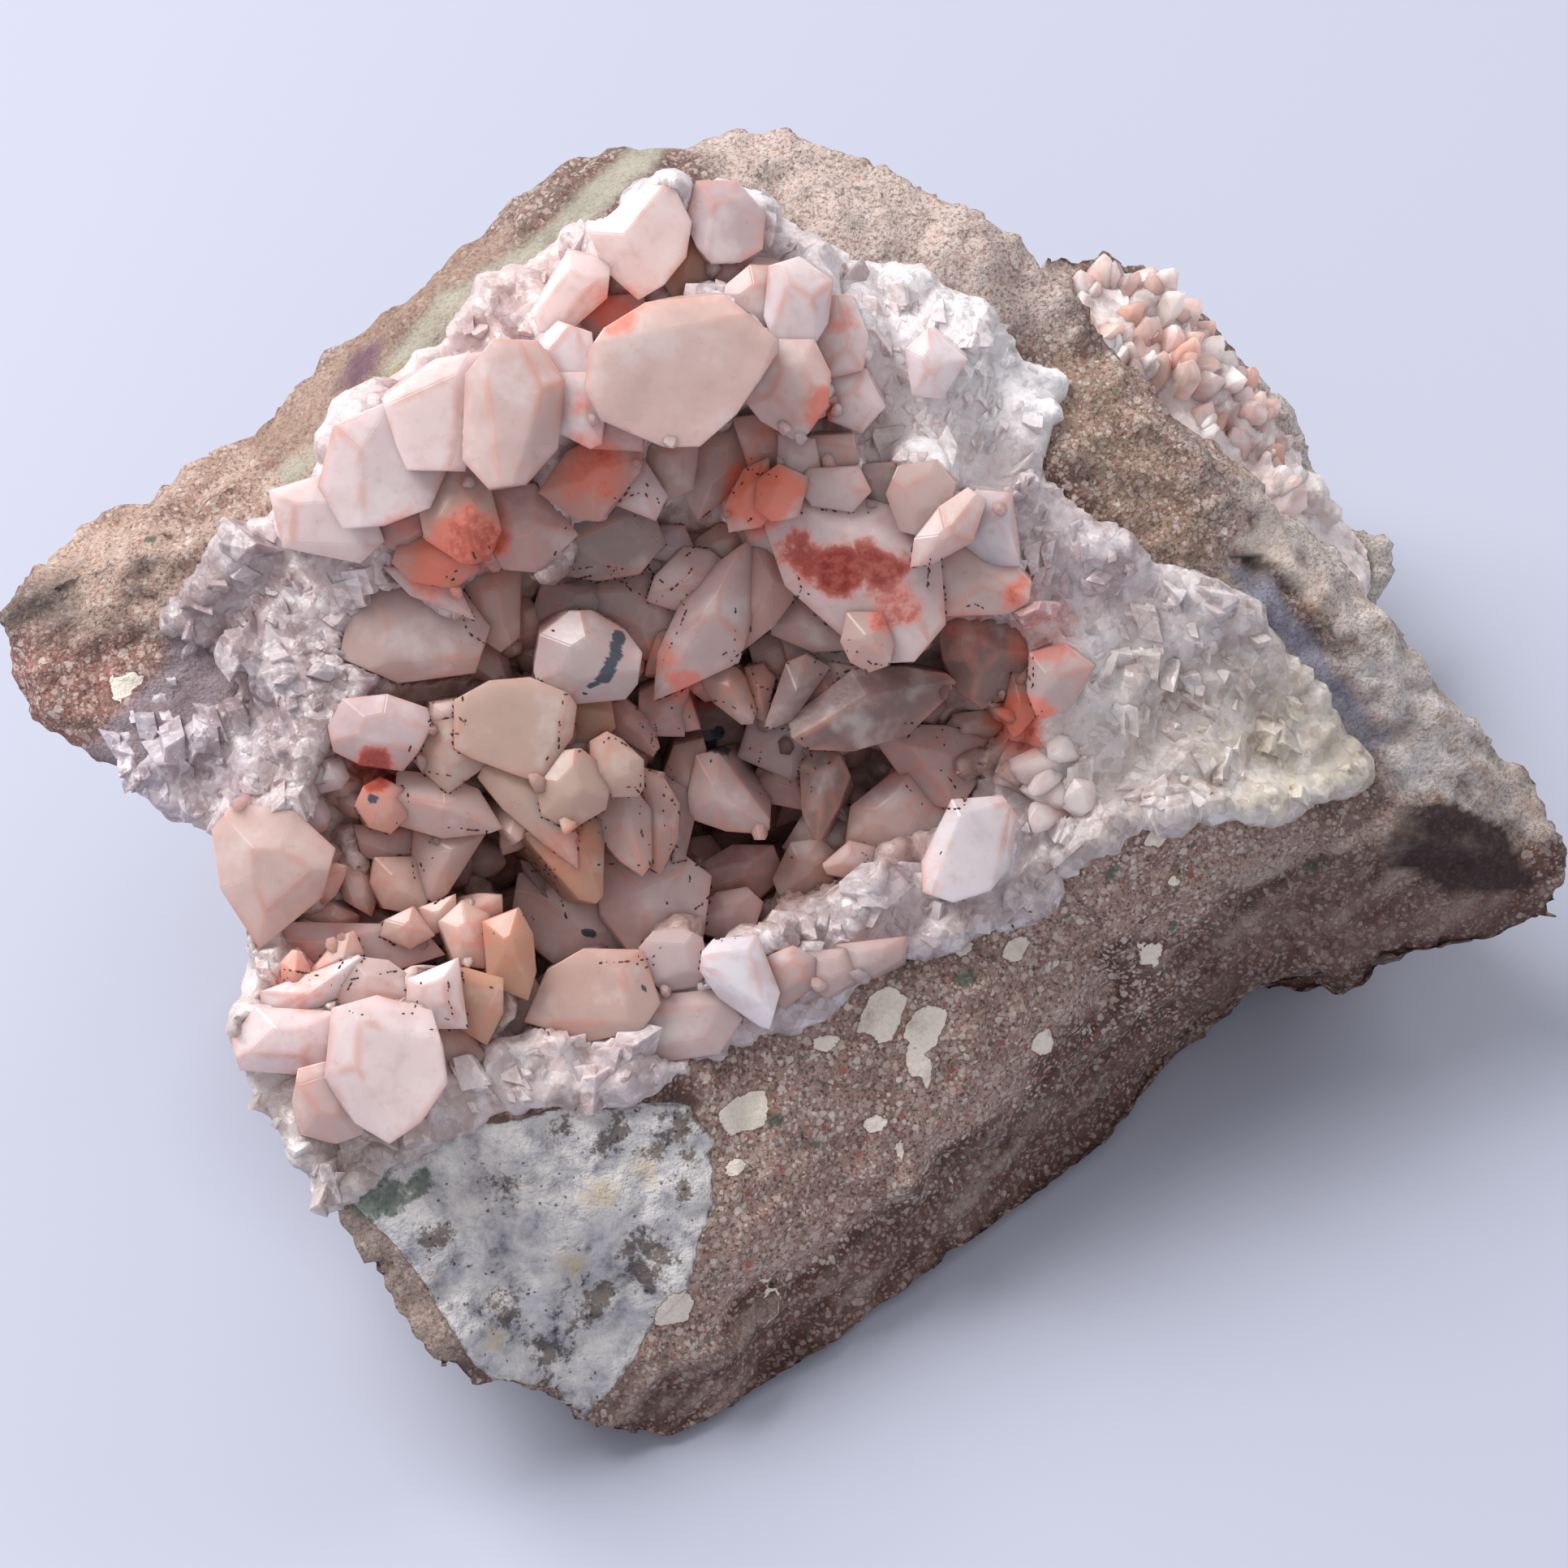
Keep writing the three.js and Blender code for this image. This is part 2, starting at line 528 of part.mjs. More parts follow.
// Small crystals on the wall of the hollow, pointing in and a little up.
function wallCrystals() {
  const random = seededRandom(41);
  const curve = outlineCurve(HOLLOW_EDGE);
  const made = [];
  for (let i = 0; i < WALL_CRYSTALS; i++) {
    const turn = (i * 0.618034 + random() * 0.05) % 1;
    const foot = bowlPoint(
      curve, HOLLOW_MIDDLE, HOLLOW_DEPTH, turn,
      funnel(0.08 + 0.84 * Math.sqrt((i + 0.5) / WALL_CRYSTALS), 1),
    );
    const inward = new THREE.Vector3(HOLLOW_MIDDLE[0], HOLLOW_MIDDLE[1], 4).sub(foot).normalize();
    inward.x += (random() - 0.5) * 0.8;
    inward.y += (random() - 0.5) * 0.8 - 0.2;
    inward.z += 0.25 + random() * 0.5;
    inward.normalize();
    const length = 5 + random() * 3.6;
    const root = foot.clone().addScaledVector(inward, -2.4);
    const tip = root.clone().addScaledVector(inward, length);
    const shape = random() < 0.6 ? S : B;
    const width = 2.6 + random() * 1.9;
    const ends = [fromMouth(...root.toArray()), fromMouth(...tip.toArray())];
    made.push(crystal(ends[0], ends[1], width, shape, random() * 3));
  }
  return made;
}

// Tilted blocks that make the broken calcite of the rim granular.
function rimLumps(rock) {
  const random = seededRandom(97);
  const outer = outlineCurve(CALCITE_EDGE);
  const inner = outlineCurve(HOLLOW_EDGE);
  const made = [];
  for (let i = 0; i < BROKEN_LUMPS; i++) {
    const turn = (i * 0.618034) % 1;
    const out = outer.getPointAt(turn);
    const towards = Math.atan2(out.y - HOLLOW_MIDDLE[1], out.x - HOLLOW_MIDDLE[0]);
    const near = nearestByAngle(inner, HOLLOW_MIDDLE, towards);
    const share = 0.12 + 0.7 * random();
    const spot = near.clone().lerp(out, share);
    const face = surfaceHeight(rock, spot.x, spot.y);
    if (face === null) continue;
    const size = 2.6 + random() * 2.2;
    const block = new THREE.BoxGeometry(size, size * 0.85, size * 0.7);
    block.rotateX(random() * 3);
    block.rotateY(random() * 3);
    block.rotateZ(random() * 3);
    const at = fromMouth(spot.x, spot.y, face - size * 0.22);
    block.translate(at.x, at.y, at.z);
    made.push(solid(block));
  }
  return made;
}

function nearestByAngle(curve, middle, angle) {
  let best = null;
  let least = Infinity;
  for (let i = 0; i < 180; i++) {
    const p = curve.getPointAt(i / 180);
    const off = Math.atan2(p.y - middle[1], p.x - middle[0]) - angle;
    const wrapped = Math.abs(Math.atan2(Math.sin(off), Math.cos(off)));
    if (wrapped < least) {
      least = wrapped;
      best = p;
    }
  }
  return best;
}

// Height of the broken face at a point of the mouth frame, or null off its edge.
function surfaceHeight(rock, x, y) {
  rockCaster.set(fromMouth(x, y, 60), fromMouth(0, 0, -1).sub(fromMouth(0, 0, 0)));
  const hit = rockCaster.intersectObject(rock)[0];
  return hit ? 60 - hit.distance : null;
}
const rockCaster = new THREE.Raycaster();

// ---- The second hollow, a long dish on the back lobe ----

const BACK_DISH = { at: [36, 43.5, 24.5], along: [17.4, -10.3, -17.8], half: [19, 6.8, 7.2] };
const BACK_HOLLOW = { at: [37.5, 45, 28], along: [17.4, -10.3, -17.8], half: [15, 4.2, 5.4] };

function dish({ at, along, half }, sides, rings) {
  const ball = weld(new THREE.SphereGeometry(1, sides, rings), 1e-3);
  ball.scale(...half);
  const direction = new THREE.Vector3(...along).normalize();
  const aim = new THREE.Quaternion().setFromUnitVectors(new THREE.Vector3(1, 0, 0), direction);
  ball.applyQuaternion(aim);
  ball.translate(...at);
  return ball;
}

function backCrystals() {
  const random = seededRandom(233);
  const made = [];
  const along = new THREE.Vector3(...BACK_HOLLOW.along).normalize();
  const out = new THREE.Vector3(0.35, 0.25, 0.9).normalize();
  const across = new THREE.Vector3().crossVectors(along, out).normalize();
  for (let i = 0; i < BACK_CRYSTALS; i++) {
    const slide = (((i * 0.618034) % 1) - 0.5) * 27;
    const side = (random() - 0.5) * 8.4;
    const foot = new THREE.Vector3(...BACK_DISH.at);
    foot.addScaledVector(along, slide).addScaledVector(across, side).addScaledVector(out, -3.6);
    const aim = out.clone();
    aim.addScaledVector(across, (random() - 0.5) * 1.1 - side * 0.06);
    aim.addScaledVector(along, (random() - 0.5) * 1.1).normalize();
    const tip = foot.clone().addScaledVector(aim, 4.4 + random() * 2.4);
    made.push(crystal(foot, tip, 2.6 + random() * 2, random() < 0.5 ? S : B, random() * 3));
  }
  return made;
}

// ---- Assembly ----

// A prism along the mouth frame's z axis, roughened like the rock it is cut from.
function breakPrism(edge) {
  const corners = edge.flatMap(([x, y]) => [fromMouth(x, y, -60), fromMouth(x, y, 40)]);
  const hull = weld(new ConvexGeometry(corners), 0.01);
  return solid(roughen(refine(hull, FACET), 1.2, 1));
}

const floor = new THREE.BoxGeometry(300, 300, 100).translate(0, 0, -50);
const lobes = [
  brokenLobe(MAIN_LOBE, MAIN_LOBE_BELOW),
  brokenLobe(WEDGE_LOBE, WEDGE_LOBE_BELOW),
  brokenLobe(WING_LOBE, WING_LOBE_BELOW),
  brokenLobe([], BACK_LOBE_BELOW),
];
const uncut = wasm.Manifold.union(lobes).subtract(breakPrism(LEFT_BREAK));
const whole = uncut.subtract(solid(floor));
const wholeMesh = new THREE.Mesh(geometryOf(whole), new THREE.MeshBasicMaterial());

const pocket = bowl(CALCITE_EDGE, CALCITE_MIDDLE, POCKET_DEPTH, 34, 40, 5, roundBowl);
const hollow = bowl(HOLLOW_EDGE, HOLLOW_MIDDLE, HOLLOW_DEPTH, 34, 22, 4, funnel);
const pocketSolid = solid(pocket);
const backDish = dish(BACK_DISH, 14, 8);
const backDishSolid = solid(backDish);

const rock = biggest(
  whole.subtract(solid(grow(pocket, FIT_GAP))).subtract(solid(grow(backDish, FIT_GAP))),
);

const grownOn = wasm.Manifold.union([
  ...placedCrystals(),
  ...wallCrystals(),
  ...rimLumps(wholeMesh),
]);
const calcite = biggest(whole.subtract(solid(hollow)).add(grownOn).intersect(pocketSolid));

const backGrown = wasm.Manifold.union(backCrystals());
const backOpened = whole.subtract(solid(dish(BACK_HOLLOW, 10, 6)));
const backCalcite = biggest(backOpened.add(backGrown).intersect(backDishSolid));

function piece(name, manifold, color, roughness) {
  const geometry = geometryOf(manifold).toNonIndexed();
  geometry.computeVertexNormals();
  const material = new THREE.MeshStandardMaterial({ color, roughness, metalness: 0 });
  const mesh = new THREE.Mesh(geometry, material);
  mesh.name = name;
  return mesh;
}

const object = new THREE.Group();
object.add(
  piece("host_rock", rock, ROCK_COLOR, 0.9),
  piece("pocket_crystals", calcite, CALCITE_COLOR, 0.35),
  piece("back_pocket_crystals", backCalcite, CALCITE_COLOR, 0.4),
);

// The origin is under the middle of the whole object, on the foot.
const box = new THREE.Box3().setFromObject(object);
const middle = box.getCenter(new THREE.Vector3());
object.position.set(-middle.x, -middle.y, -box.min.z);

export default object;
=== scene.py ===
import json
import math
from itertools import product

import bmesh
import bpy
import numpy as np
from bpy.props import FloatProperty, FloatVectorProperty, IntProperty, PointerProperty
from mathutils import Matrix, Vector
from mathutils.bvhtree import BVHTree
from mathutils.geometry import convex_hull_2d

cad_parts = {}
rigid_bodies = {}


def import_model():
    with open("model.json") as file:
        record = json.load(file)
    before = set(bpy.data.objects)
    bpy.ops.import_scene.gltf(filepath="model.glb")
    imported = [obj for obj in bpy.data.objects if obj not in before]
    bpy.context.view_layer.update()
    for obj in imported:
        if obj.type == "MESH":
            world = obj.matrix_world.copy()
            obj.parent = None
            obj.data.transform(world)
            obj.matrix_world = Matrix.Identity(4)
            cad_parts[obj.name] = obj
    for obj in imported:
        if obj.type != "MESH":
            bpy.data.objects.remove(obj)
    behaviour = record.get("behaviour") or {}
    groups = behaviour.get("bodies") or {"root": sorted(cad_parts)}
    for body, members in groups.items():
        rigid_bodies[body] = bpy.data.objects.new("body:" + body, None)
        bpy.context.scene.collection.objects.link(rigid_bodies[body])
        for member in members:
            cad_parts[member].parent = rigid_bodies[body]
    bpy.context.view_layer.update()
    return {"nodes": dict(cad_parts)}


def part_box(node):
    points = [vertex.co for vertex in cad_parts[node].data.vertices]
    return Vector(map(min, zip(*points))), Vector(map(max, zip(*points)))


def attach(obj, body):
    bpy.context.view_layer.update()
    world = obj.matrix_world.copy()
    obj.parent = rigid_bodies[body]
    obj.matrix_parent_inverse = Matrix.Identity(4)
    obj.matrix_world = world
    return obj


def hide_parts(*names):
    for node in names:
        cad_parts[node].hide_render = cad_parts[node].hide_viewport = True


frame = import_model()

bl_info = {
    "name": "Calcite crystal pocket",
    "version": (1, 0, 0),
    "blender": (4, 5, 0),
    "location": "View3D > Sidebar > Calcite",
    "description": "Dresses the packed solids of a calcite crystal pocket in broken rock and crystals",
    "category": "Object",
}

MM = 0.001

# The mouth frame has x to the right, y up the mouth's slope and z out of the hollow. It stands
# on its origin at MOUTH_AT, and the camera looks down its z axis from VIEW_DISTANCE millimetres.
LEAN = math.radians(40)
MOUTH_AT = Vector((-1.1952, -11.9005, 33.7)) * MM
MOUTH = Matrix.Translation(MOUTH_AT) @ Matrix.Rotation(LEAN, 4, "X")
MOUTH_TURN = np.array(MOUTH.to_3x3())
OUTWARD = MOUTH_TURN[:, 2]
VIEW_DISTANCE = 305.0
EYE = (0, 0, VIEW_DISTANCE)
LENS = 99.46

# Edge of the calcite and of its open hollow, in the mouth frame.
CALCITE_EDGE = [
    (-43.8, 11.8), (-32.3, 23.2), (-23.2, 32.3), (-15.2, 38.6), (-7.8, 42.6), (-3.8, 42),
    (1.9, 38.6), (9.4, 35.8), (15, 33), (19.6, 31.2), (20, 27), (17.5, 24), (19, 20.5),
    (23, 17.5), (26.5, 15.2), (30.5, 14), (35, 10), (38.5, 6), (42, 1), (38.5, -1.4),
    (27.7, -2), (20.8, -4.2), (18.5, -8.2), (7.7, -12.8), (-3.8, -18.5), (-6, -20.2),
    (-15.2, -22), (-23.2, -23.7), (-26, -26.5), (-31.8, -28.8), (-36, -31), (-44, -24),
    (-47, -14), (-50, -3), (-46.6, 0.3), (-41.5, 3.8), (-36.3, 7.8), (-41.5, 9.5),
]
# Where thin calcite runs over the rock beyond that edge, on the left.
WING = [
    (-43.8, 12.6), (-36, 8.8), (-35, 7), (-41, 3), (-46.6, -0.8), (-50.4, -3.6), (-50.4, 0.6), (-48.4, 3.4),
    (-46.6, 5.6), (-43.6, 8.6), (-43.2, 11),
]
HOLLOW_EDGE = [
    (-35.2, -4.8), (-30.6, 4.9), (-26.6, 10.6), (-21, 15.2), (-15.2, 17.5), (-10, 19.8),
    (-3.8, 22), (2, 19.8), (9.4, 15.2), (16.8, 11.8), (19, 6.6), (18.5, 0.3),
    (13.4, -2.5), (5.4, -7.7), (-1, -10.5), (-6, -13.4), (-15.2, -17.4), (-21, -19),
    (-26.6, -16.2), (-35.2, -12.2),
]
HOLLOW_HEART = (-6, -3, -2)
CALCITE_MIDDLE = (-8, 4)

# Colours of the calcite's crystals.
TONES = {
    "pearl": (226, 206, 206),
    "pink": (208, 184, 182),
    "rose": (205, 177, 171),
    "white": (190, 168, 165),
    "snow": (220, 212, 218),
    "lilac": (184, 164, 168),
    "cream": (194, 166, 152),
    "peach": (212, 180, 168),
    "coral": (208, 152, 138),
    "amber": (190, 146, 120),
    "grey": (154, 132, 128),
    "blush": (194, 156, 150),
    "beige": (192, 164, 157),
    "dusk": (142, 116, 112),
}

# Crystals that stand out, each by its widest outline as seen from the front: depth of the
# outline (mouth z), rise of the point above it, how much of the point is cut flat, place of
# the point, tone and corners.
CRYSTALS = [
    # under the roof, left
    (9.5, 2.2, 0.5, (-19.2, 27), "rose", [(-20.6, 21), (-18.2, 21.4), (-16.2, 23.8), (-15.7, 28.2),
     (-17.4, 30.9), (-20.4, 31), (-22.2, 28.6), (-22.4, 23)]),
    (8.6, 0.8, 0.5, (-14.6, 26.6), "snow", [(-15.8, 28.7), (-13.4, 28.7), (-13, 25.6), (-13, 24.2),
     (-13.7, 23.9), (-16, 25.1)]),
    (7.6, 0.8, 0.5, (-15.6, 30.4), "snow", [(-17.6, 30.6), (-15.8, 32.3), (-13.8, 31.6), (-13.4, 29),
     (-15.8, 28.5)]),
    (8, 1, 0.6, (-24.5, 26), "pearl", [(-26.4, 22.4), (-22.6, 22.3), (-21.8, 26), (-21.4, 30.2),
     (-24.5, 29.6), (-28, 27), (-27, 24)]),
    (6.5, 1.2, 0.6, (-28, 22), "pearl", [(-30.8, 18.2), (-28.2, 18.5), (-25.2, 19.6), (-24, 22.2),
     (-26, 23), (-28, 26.6), (-31.5, 25), (-32.5, 21)]),
    (4, 1.2, 0.5, (-32, 18.5), "pearl", [(-35, 16.8), (-30, 15.8), (-28.4, 17.2), (-29.4, 19.6),
     (-32, 21.6), (-36, 20.5)]),
    (5.6, 1.6, 0.3, (-22.4, 19.4), "peach", [(-24.1, 22.1), (-22.4, 22.5), (-20.9, 20.6), (-20.2, 18),
     (-20.9, 16), (-22.6, 15.8), (-25, 17.4), (-25.4, 19.3)]),
    (4, 1, 0.3, (-24.4, 16), "coral", [(-26.8, 17), (-25, 18), (-22.4, 16.4), (-21.8, 15.2), (-23.4, 14),
     (-26, 14.5), (-27.3, 15.6)]),
    (3.2, 0.8, 0.4, (-26.4, 18), "blush", [(-28.4, 18.6), (-25.2, 19.6), (-24.6, 17.6), (-26.6, 16.4),
     (-28, 17)]),
    (1.5, 1.4, 0.3, (-18, 18.4), "blush", [(-20.8, 21), (-17.6, 20.8), (-16.2, 19.2), (-14.8, 17.6),
     (-17.4, 15.2), (-19.6, 15.4), (-20.6, 17.2)]),
    (5, 1.4, 0.2, (-13.4, 21.6), "coral", [(-17, 20.6), (-15, 23.2), (-12, 24.8), (-10.1, 24), (-10.4, 22),
     (-13, 18.8), (-14.6, 19)]),
    (6.4, 0.7, 0.3, (-12, 25.4), "blush", [(-13.8, 27), (-10.2, 25), (-10.2, 23.6), (-13.2, 23.8)]),
    (-4, 1, 0.5, (-12.4, 17), "grey", [(-13.6, 19.4), (-10, 20.2), (-8.6, 17), (-10.4, 15), (-13, 14.6),
     (-16.4, 15), (-15, 17.8)]),
    (0, 1, 0.3, (-20.6, 13), "beige", [(-23, 14.6), (-20.6, 15.6), (-18.7, 15.2), (-18.8, 10.6), (-20, 9.6),
     (-22, 11)]),
    (1.6, 0.6, 0.2, (-25, 14.2), "pink", [(-28, 15.2), (-26, 14.9), (-23.4, 14.2), (-22, 11.7),
     (-23.6, 12.4), (-26, 13.4)]),
    (-4, 1.2, 0.5, (-25.6, 10), "beige", [(-30, 13.6), (-23, 13.6), (-21, 11), (-22, 8), (-27, 7.4),
     (-31, 9)]),
    # under the roof, middle
    (6, 1, 0.5, (-15, 35), "pearl", [(-17.5, 33.4), (-15.2, 37.2), (-12.4, 36.6), (-12.8, 34.2),
     (-15, 32.3), (-17, 32)]),
    (3.5, 0.6, 0.5, (-12.6, 32.6), "blush", [(-15, 32.3), (-12.6, 34), (-10.2, 34.4), (-9.8, 33),
     (-13.4, 30.2), (-14.2, 31.6)]),
    (12, 1.6, 0.85, (-6.6, 29), "rose", [(-13.4, 30.4), (-12.3, 32), (-9.6, 33.6), (-4.4, 34.2),
     (-2.4, 32.6), (-0.7, 31.2), (-0.7, 30.4), (-3.6, 26.2), (-6, 24), (-8.4, 24), (-12.6, 25.8),
     (-13.7, 27.8)]),
    (6, 1.2, 0.5, (-9.8, 38.6), "pearl", [(-13.4, 38.8), (-9.6, 42), (-7.8, 41.6), (-6.8, 39.4),
     (-7.2, 37.2), (-8.6, 35.4), (-10.2, 34.4), (-12.4, 36.4)]),
    (5.5, 1, 0.5, (-4, 39.6), "lilac", [(-6.6, 39.6), (-6, 42.2), (-3.4, 42.2), (-1.6, 40), (-1.8, 37.8),
     (-3.2, 37), (-5, 36.9), (-5.9, 38)]),
    (3.5, 0.6, 0.4, (-6.4, 36.4), "amber", [(-7, 38.6), (-5.8, 37.9), (-4.6, 36.6), (-5.4, 34.2),
     (-7.4, 34.2), (-8.4, 35.6)]),
    (3.6, 0.6, 0.3, (-3.6, 36), "blush", [(-5, 36.8), (-2.8, 37), (-2.2, 35.6), (-4.2, 34.6)]),
    (6, 0.8, 0.4, (-2, 34.4), "pink", [(-3.8, 35), (-2.4, 36.2), (-0.4, 36.2), (-0.6, 32.6), (-2.2, 32.4),
     (-4, 34)]),
    (6.6, 1.2, 0.5, (1, 33.6), "pearl", [(-0.9, 36.2), (1, 36.8), (3.2, 35.2), (2.8, 32.6), (1.8, 30.8),
     (-0.4, 30.8), (-1.1, 33)]),
    (7.2, 1.2, 0.4, (0.4, 28), "pink", [(-2.4, 27), (-1.4, 29.4), (-0.2, 31), (2, 31), (3, 28.8),
     (2.8, 26.8), (1.6, 25), (0.6, 24.6), (-1.4, 25.8)]),
    (4.4, 1, 0.4, (4, 31.4), "pearl", [(2.6, 34), (4.6, 34.2), (5.6, 31.6), (5.4, 29.4), (3, 28.8),
     (2, 31.2)]),
    (3.4, 0.8, 0.3, (10.4, 29.6), "snow", [(8.8, 30.4), (10.2, 31.8), (12.6, 29.8), (11, 27.4),
     (9.2, 27.6)]),
    (3.8, 0.8, 0.4, (4.4, 26.8), "pearl", [(2.8, 28.6), (3.4, 25.8), (5.4, 25), (6.8, 26.6), (5.6, 28.8)]),
    (3.8, 0.8, 0.5, (3.4, 23.2), "white", [(2, 24.3), (4.6, 24.4), (5, 22.8), (3.5, 21.7), (1.9, 22.5)]),
    # upper right
    (-0.5, 0.5, 0.3, (-9.6, 21), "pink", [(-9.9, 22.5), (-8.5, 20.3), (-9.2, 18.8), (-11.6, 19.8),
     (-12.2, 21)]),
    (0.5, 1, 0.4, (-8, 22.4), "beige", [(-10, 24.6), (-6, 25), (-6.6, 21), (-8.6, 20), (-9.9, 22.4)]),
    (0.8, 1, 0.3, (-4.8, 22), "beige", [(-6, 25), (-3.4, 25.4), (-2.6, 22.2), (-4, 20.6), (-6, 18.8),
     (-7, 21)]),
    (2.4, 0.6, 0.4, (-1.2, 24), "blush", [(-3.4, 25.6), (-1, 25.8), (1, 24.2), (0.4, 22.2), (-2.2, 22.2)]),
    (4.6, 1, 0.3, (-2.4, 20.4), "coral", [(-3.9, 19.6), (-2.8, 21.8), (-1.2, 22.7), (-1.1, 19.2),
     (-1.8, 18.4), (-3.7, 18)]),
    (5.4, 0.9, 0.3, (-0.2, 20.6), "coral", [(-1.7, 21.2), (-0.4, 22.2), (1.5, 21.4), (0.8, 19),
     (-0.8, 18.8), (-1.8, 19.6)]),
    (3.4, 2.6, 0.25, (5.6, 16.8), "pink", [(-1.3, 18.6), (1.6, 20.8), (7.4, 19.4), (10.7, 16.2),
     (11.1, 11.4), (9, 8.9), (6.2, 8.8), (3.2, 12.2), (0.4, 14)]),
    (5, 1.2, 0.2, (6, 10.2), "beige", [(4.6, 11.8), (6.8, 11.8), (7.4, 9.8), (7.2, 8.6), (6, 8.2),
     (4.9, 8.8), (4.3, 10)]),
    (2.6, 1.2, 0.2, (14.6, 14.2), "rose", [(10.7, 16), (12.4, 16.8), (15.8, 15.5), (17.1, 14.2),
     (16.9, 12.9), (15.6, 12.2), (11, 12), (10.5, 13.6)]),
    (5.6, 0.8, 0.2, (11.4, 17.6), "pink", [(9.1, 15.5), (10.6, 15.8), (13, 17.2), (14, 19.8), (12.8, 20.6),
     (11, 19.2), (9.5, 17.4)]),
    (4.8, 1, 0.4, (9.6, 20.2), "white", [(7.5, 20.4), (8.2, 22.1), (10.6, 22.5), (11.8, 21), (11.3, 19),
     (9.8, 17.7), (8.3, 18.1)]),
    (3, 0.8, 0.4, (6.8, 20.8), "grey", [(5.4, 22.2), (7.8, 22.4), (8.4, 18.2), (6.4, 19), (5.4, 20.8)]),
    (5, 0.8, 0.4, (3.6, 20.8), "pink", [(2, 22), (5, 22.1), (5.8, 20.6), (4.6, 19.4), (2.2, 19.8),
     (1.2, 21)]),
    (4.4, 0.8, 0.4, (1, 22.6), "pink", [(-0.2, 24.4), (2, 24), (2.4, 22), (1.4, 21.2), (-0.2, 21.8)]),
    (3, 0.8, 0.3, (14.6, 18), "snow", [(12.6, 17.2), (13.6, 20.4), (15.8, 20.2), (16.4, 15.6),
     (14.6, 15.6)]),
    # middle, hanging into the hollow
    (0.5, 2, 0.15, (-5.2, 12.4), "pink", [(-9, 6.1), (-8.6, 9.4), (-7.2, 12.2), (-4.8, 15.2), (-2.3, 17.2),
     (-2.3, 12.6), (-3.1, 9.8), (-3.4, 8.8), (-6.6, 7.2)]),
    (0.2, 1.2, 0.2, (-1.2, 14.6), "blush", [(-2.6, 18), (-1.4, 18.8), (0.9, 13.8), (-0.8, 11.4),
     (-3.4, 9.2)]),
    (-1.4, 1.2, 0.4, (-10.6, 12.4), "beige", [(-15.6, 14), (-10, 15), (-7.2, 12.4), (-9, 8.4), (-10, 9.4),
     (-12.2, 11.6), (-15.4, 12.8)]),
    (-0.4, 0.8, 0.2, (-6.2, 14.2), "pink", [(-9.4, 13), (-8.8, 14.6), (-7, 16.4), (-5.4, 16.2),
     (-4.1, 15.2), (-5, 13.2), (-6.6, 12.2)]),
    (-2, 1, 0.3, (-10, 15.6), "beige", [(-11.8, 14.8), (-9.4, 17.6), (-6, 17.4), (-7, 15), (-9, 13.2)]),
    (-2.4, 1, 0.3, (-4.4, 16.8), "beige", [(-6.4, 16.8), (-4.6, 18), (-2.2, 18.4), (-2.4, 14.6),
     (-4.6, 14.8)]),
    (-0.6, 0.5, 0.4, (-8, 17), "lilac", [(-9.1, 17.9), (-7.2, 17.9), (-6.7, 16.8), (-7.6, 15.8),
     (-9.1, 16.1)]),
    (-1, 1.4, 0, (-3.8, 6.8), "beige", [(-6, 7.6), (-4, 8.8), (-2.9, 7.2), (-2.2, 5.3), (-2.4, 4.5),
     (-3.1, 4.5), (-4.6, 5.8)]),
    (-1.6, 0.9, 0, (-1.8, 6.8), "blush", [(-2.6, 7.9), (-1.5, 8.1), (-0.9, 7.2), (-1.3, 4.7), (-1.9, 5)]),
    (-0.4, 1.2, 0, (0.9, 6.6), "grey", [(0.2, 8.2), (1.4, 8.8), (3, 8), (0.6, 4.8), (-0.9, 4.1),
     (-1.2, 4.3)]),
    (-1.4, 0.8, 0, (3, 6.6), "blush", [(2.4, 8.4), (5.4, 8), (5.6, 6.8), (3, 5.8), (0.2, 4.4), (1, 6)]),
    (-3, 0.8, 0.3, (-0.4, 8.8), "beige", [(-2.2, 9.6), (-0.6, 10.6), (0.6, 9.8), (1.4, 8.6), (0, 6.8),
     (-1.6, 7.2)]),
    (-1, 0.9, 0.2, (-8.2, 5.2), "blush", [(-9.9, 6.2), (-8.4, 7.2), (-6.8, 7.4), (-7.1, 5), (-7.2, 3.6),
     (-8.9, 3.7), (-10, 4.6)]),
    (-1.2, 0.6, 0, (-6.9, 4.9), "blush", [(-7.5, 5.6), (-6.9, 6.6), (-6.1, 4.1), (-6.9, 4), (-7.6, 4.5)]),
    (-0.8, 0.8, 0.3, (-10.8, 4.4), "blush", [(-12.2, 5.4), (-11, 5.6), (-9.6, 4.4), (-9, 2.8), (-9.4, 2.2),
     (-10.6, 3.2), (-12.2, 3.8)]),
    (-1, 0.8, 0.2, (2, 11.2), "beige", [(-0.6, 12.3), (0.8, 13.4), (4.4, 11.8), (4.9, 9.6), (2, 9.6),
     (-0.6, 10.6)]),
    (-1.8, 0.6, 0.3, (3, 9.4), "dusk", [(0, 10.4), (2, 10.2), (5.4, 9.8), (6.2, 8.6), (3, 8), (0.6, 8.6)]),
    (-0.6, 1.6, 0.1, (6, 6.2), "dusk", [(0.6, 4.6), (3.4, 6.6), (5, 7.8), (8, 8), (11.2, 7.6), (11.8, 7.1),
     (11, 5.9), (8.4, 3.6), (5, 2.6), (2, 2.6), (0.8, 3.4)]),
    (-3, 1, 0.3, (14, 9.6), "dusk", [(11, 11.4), (13.4, 12.3), (14.4, 11.4), (16.2, 10.8), (17.1, 9),
     (17.2, 7), (15.8, 7.6), (14, 5.6), (12.4, 6.8), (11.5, 8.8)]),
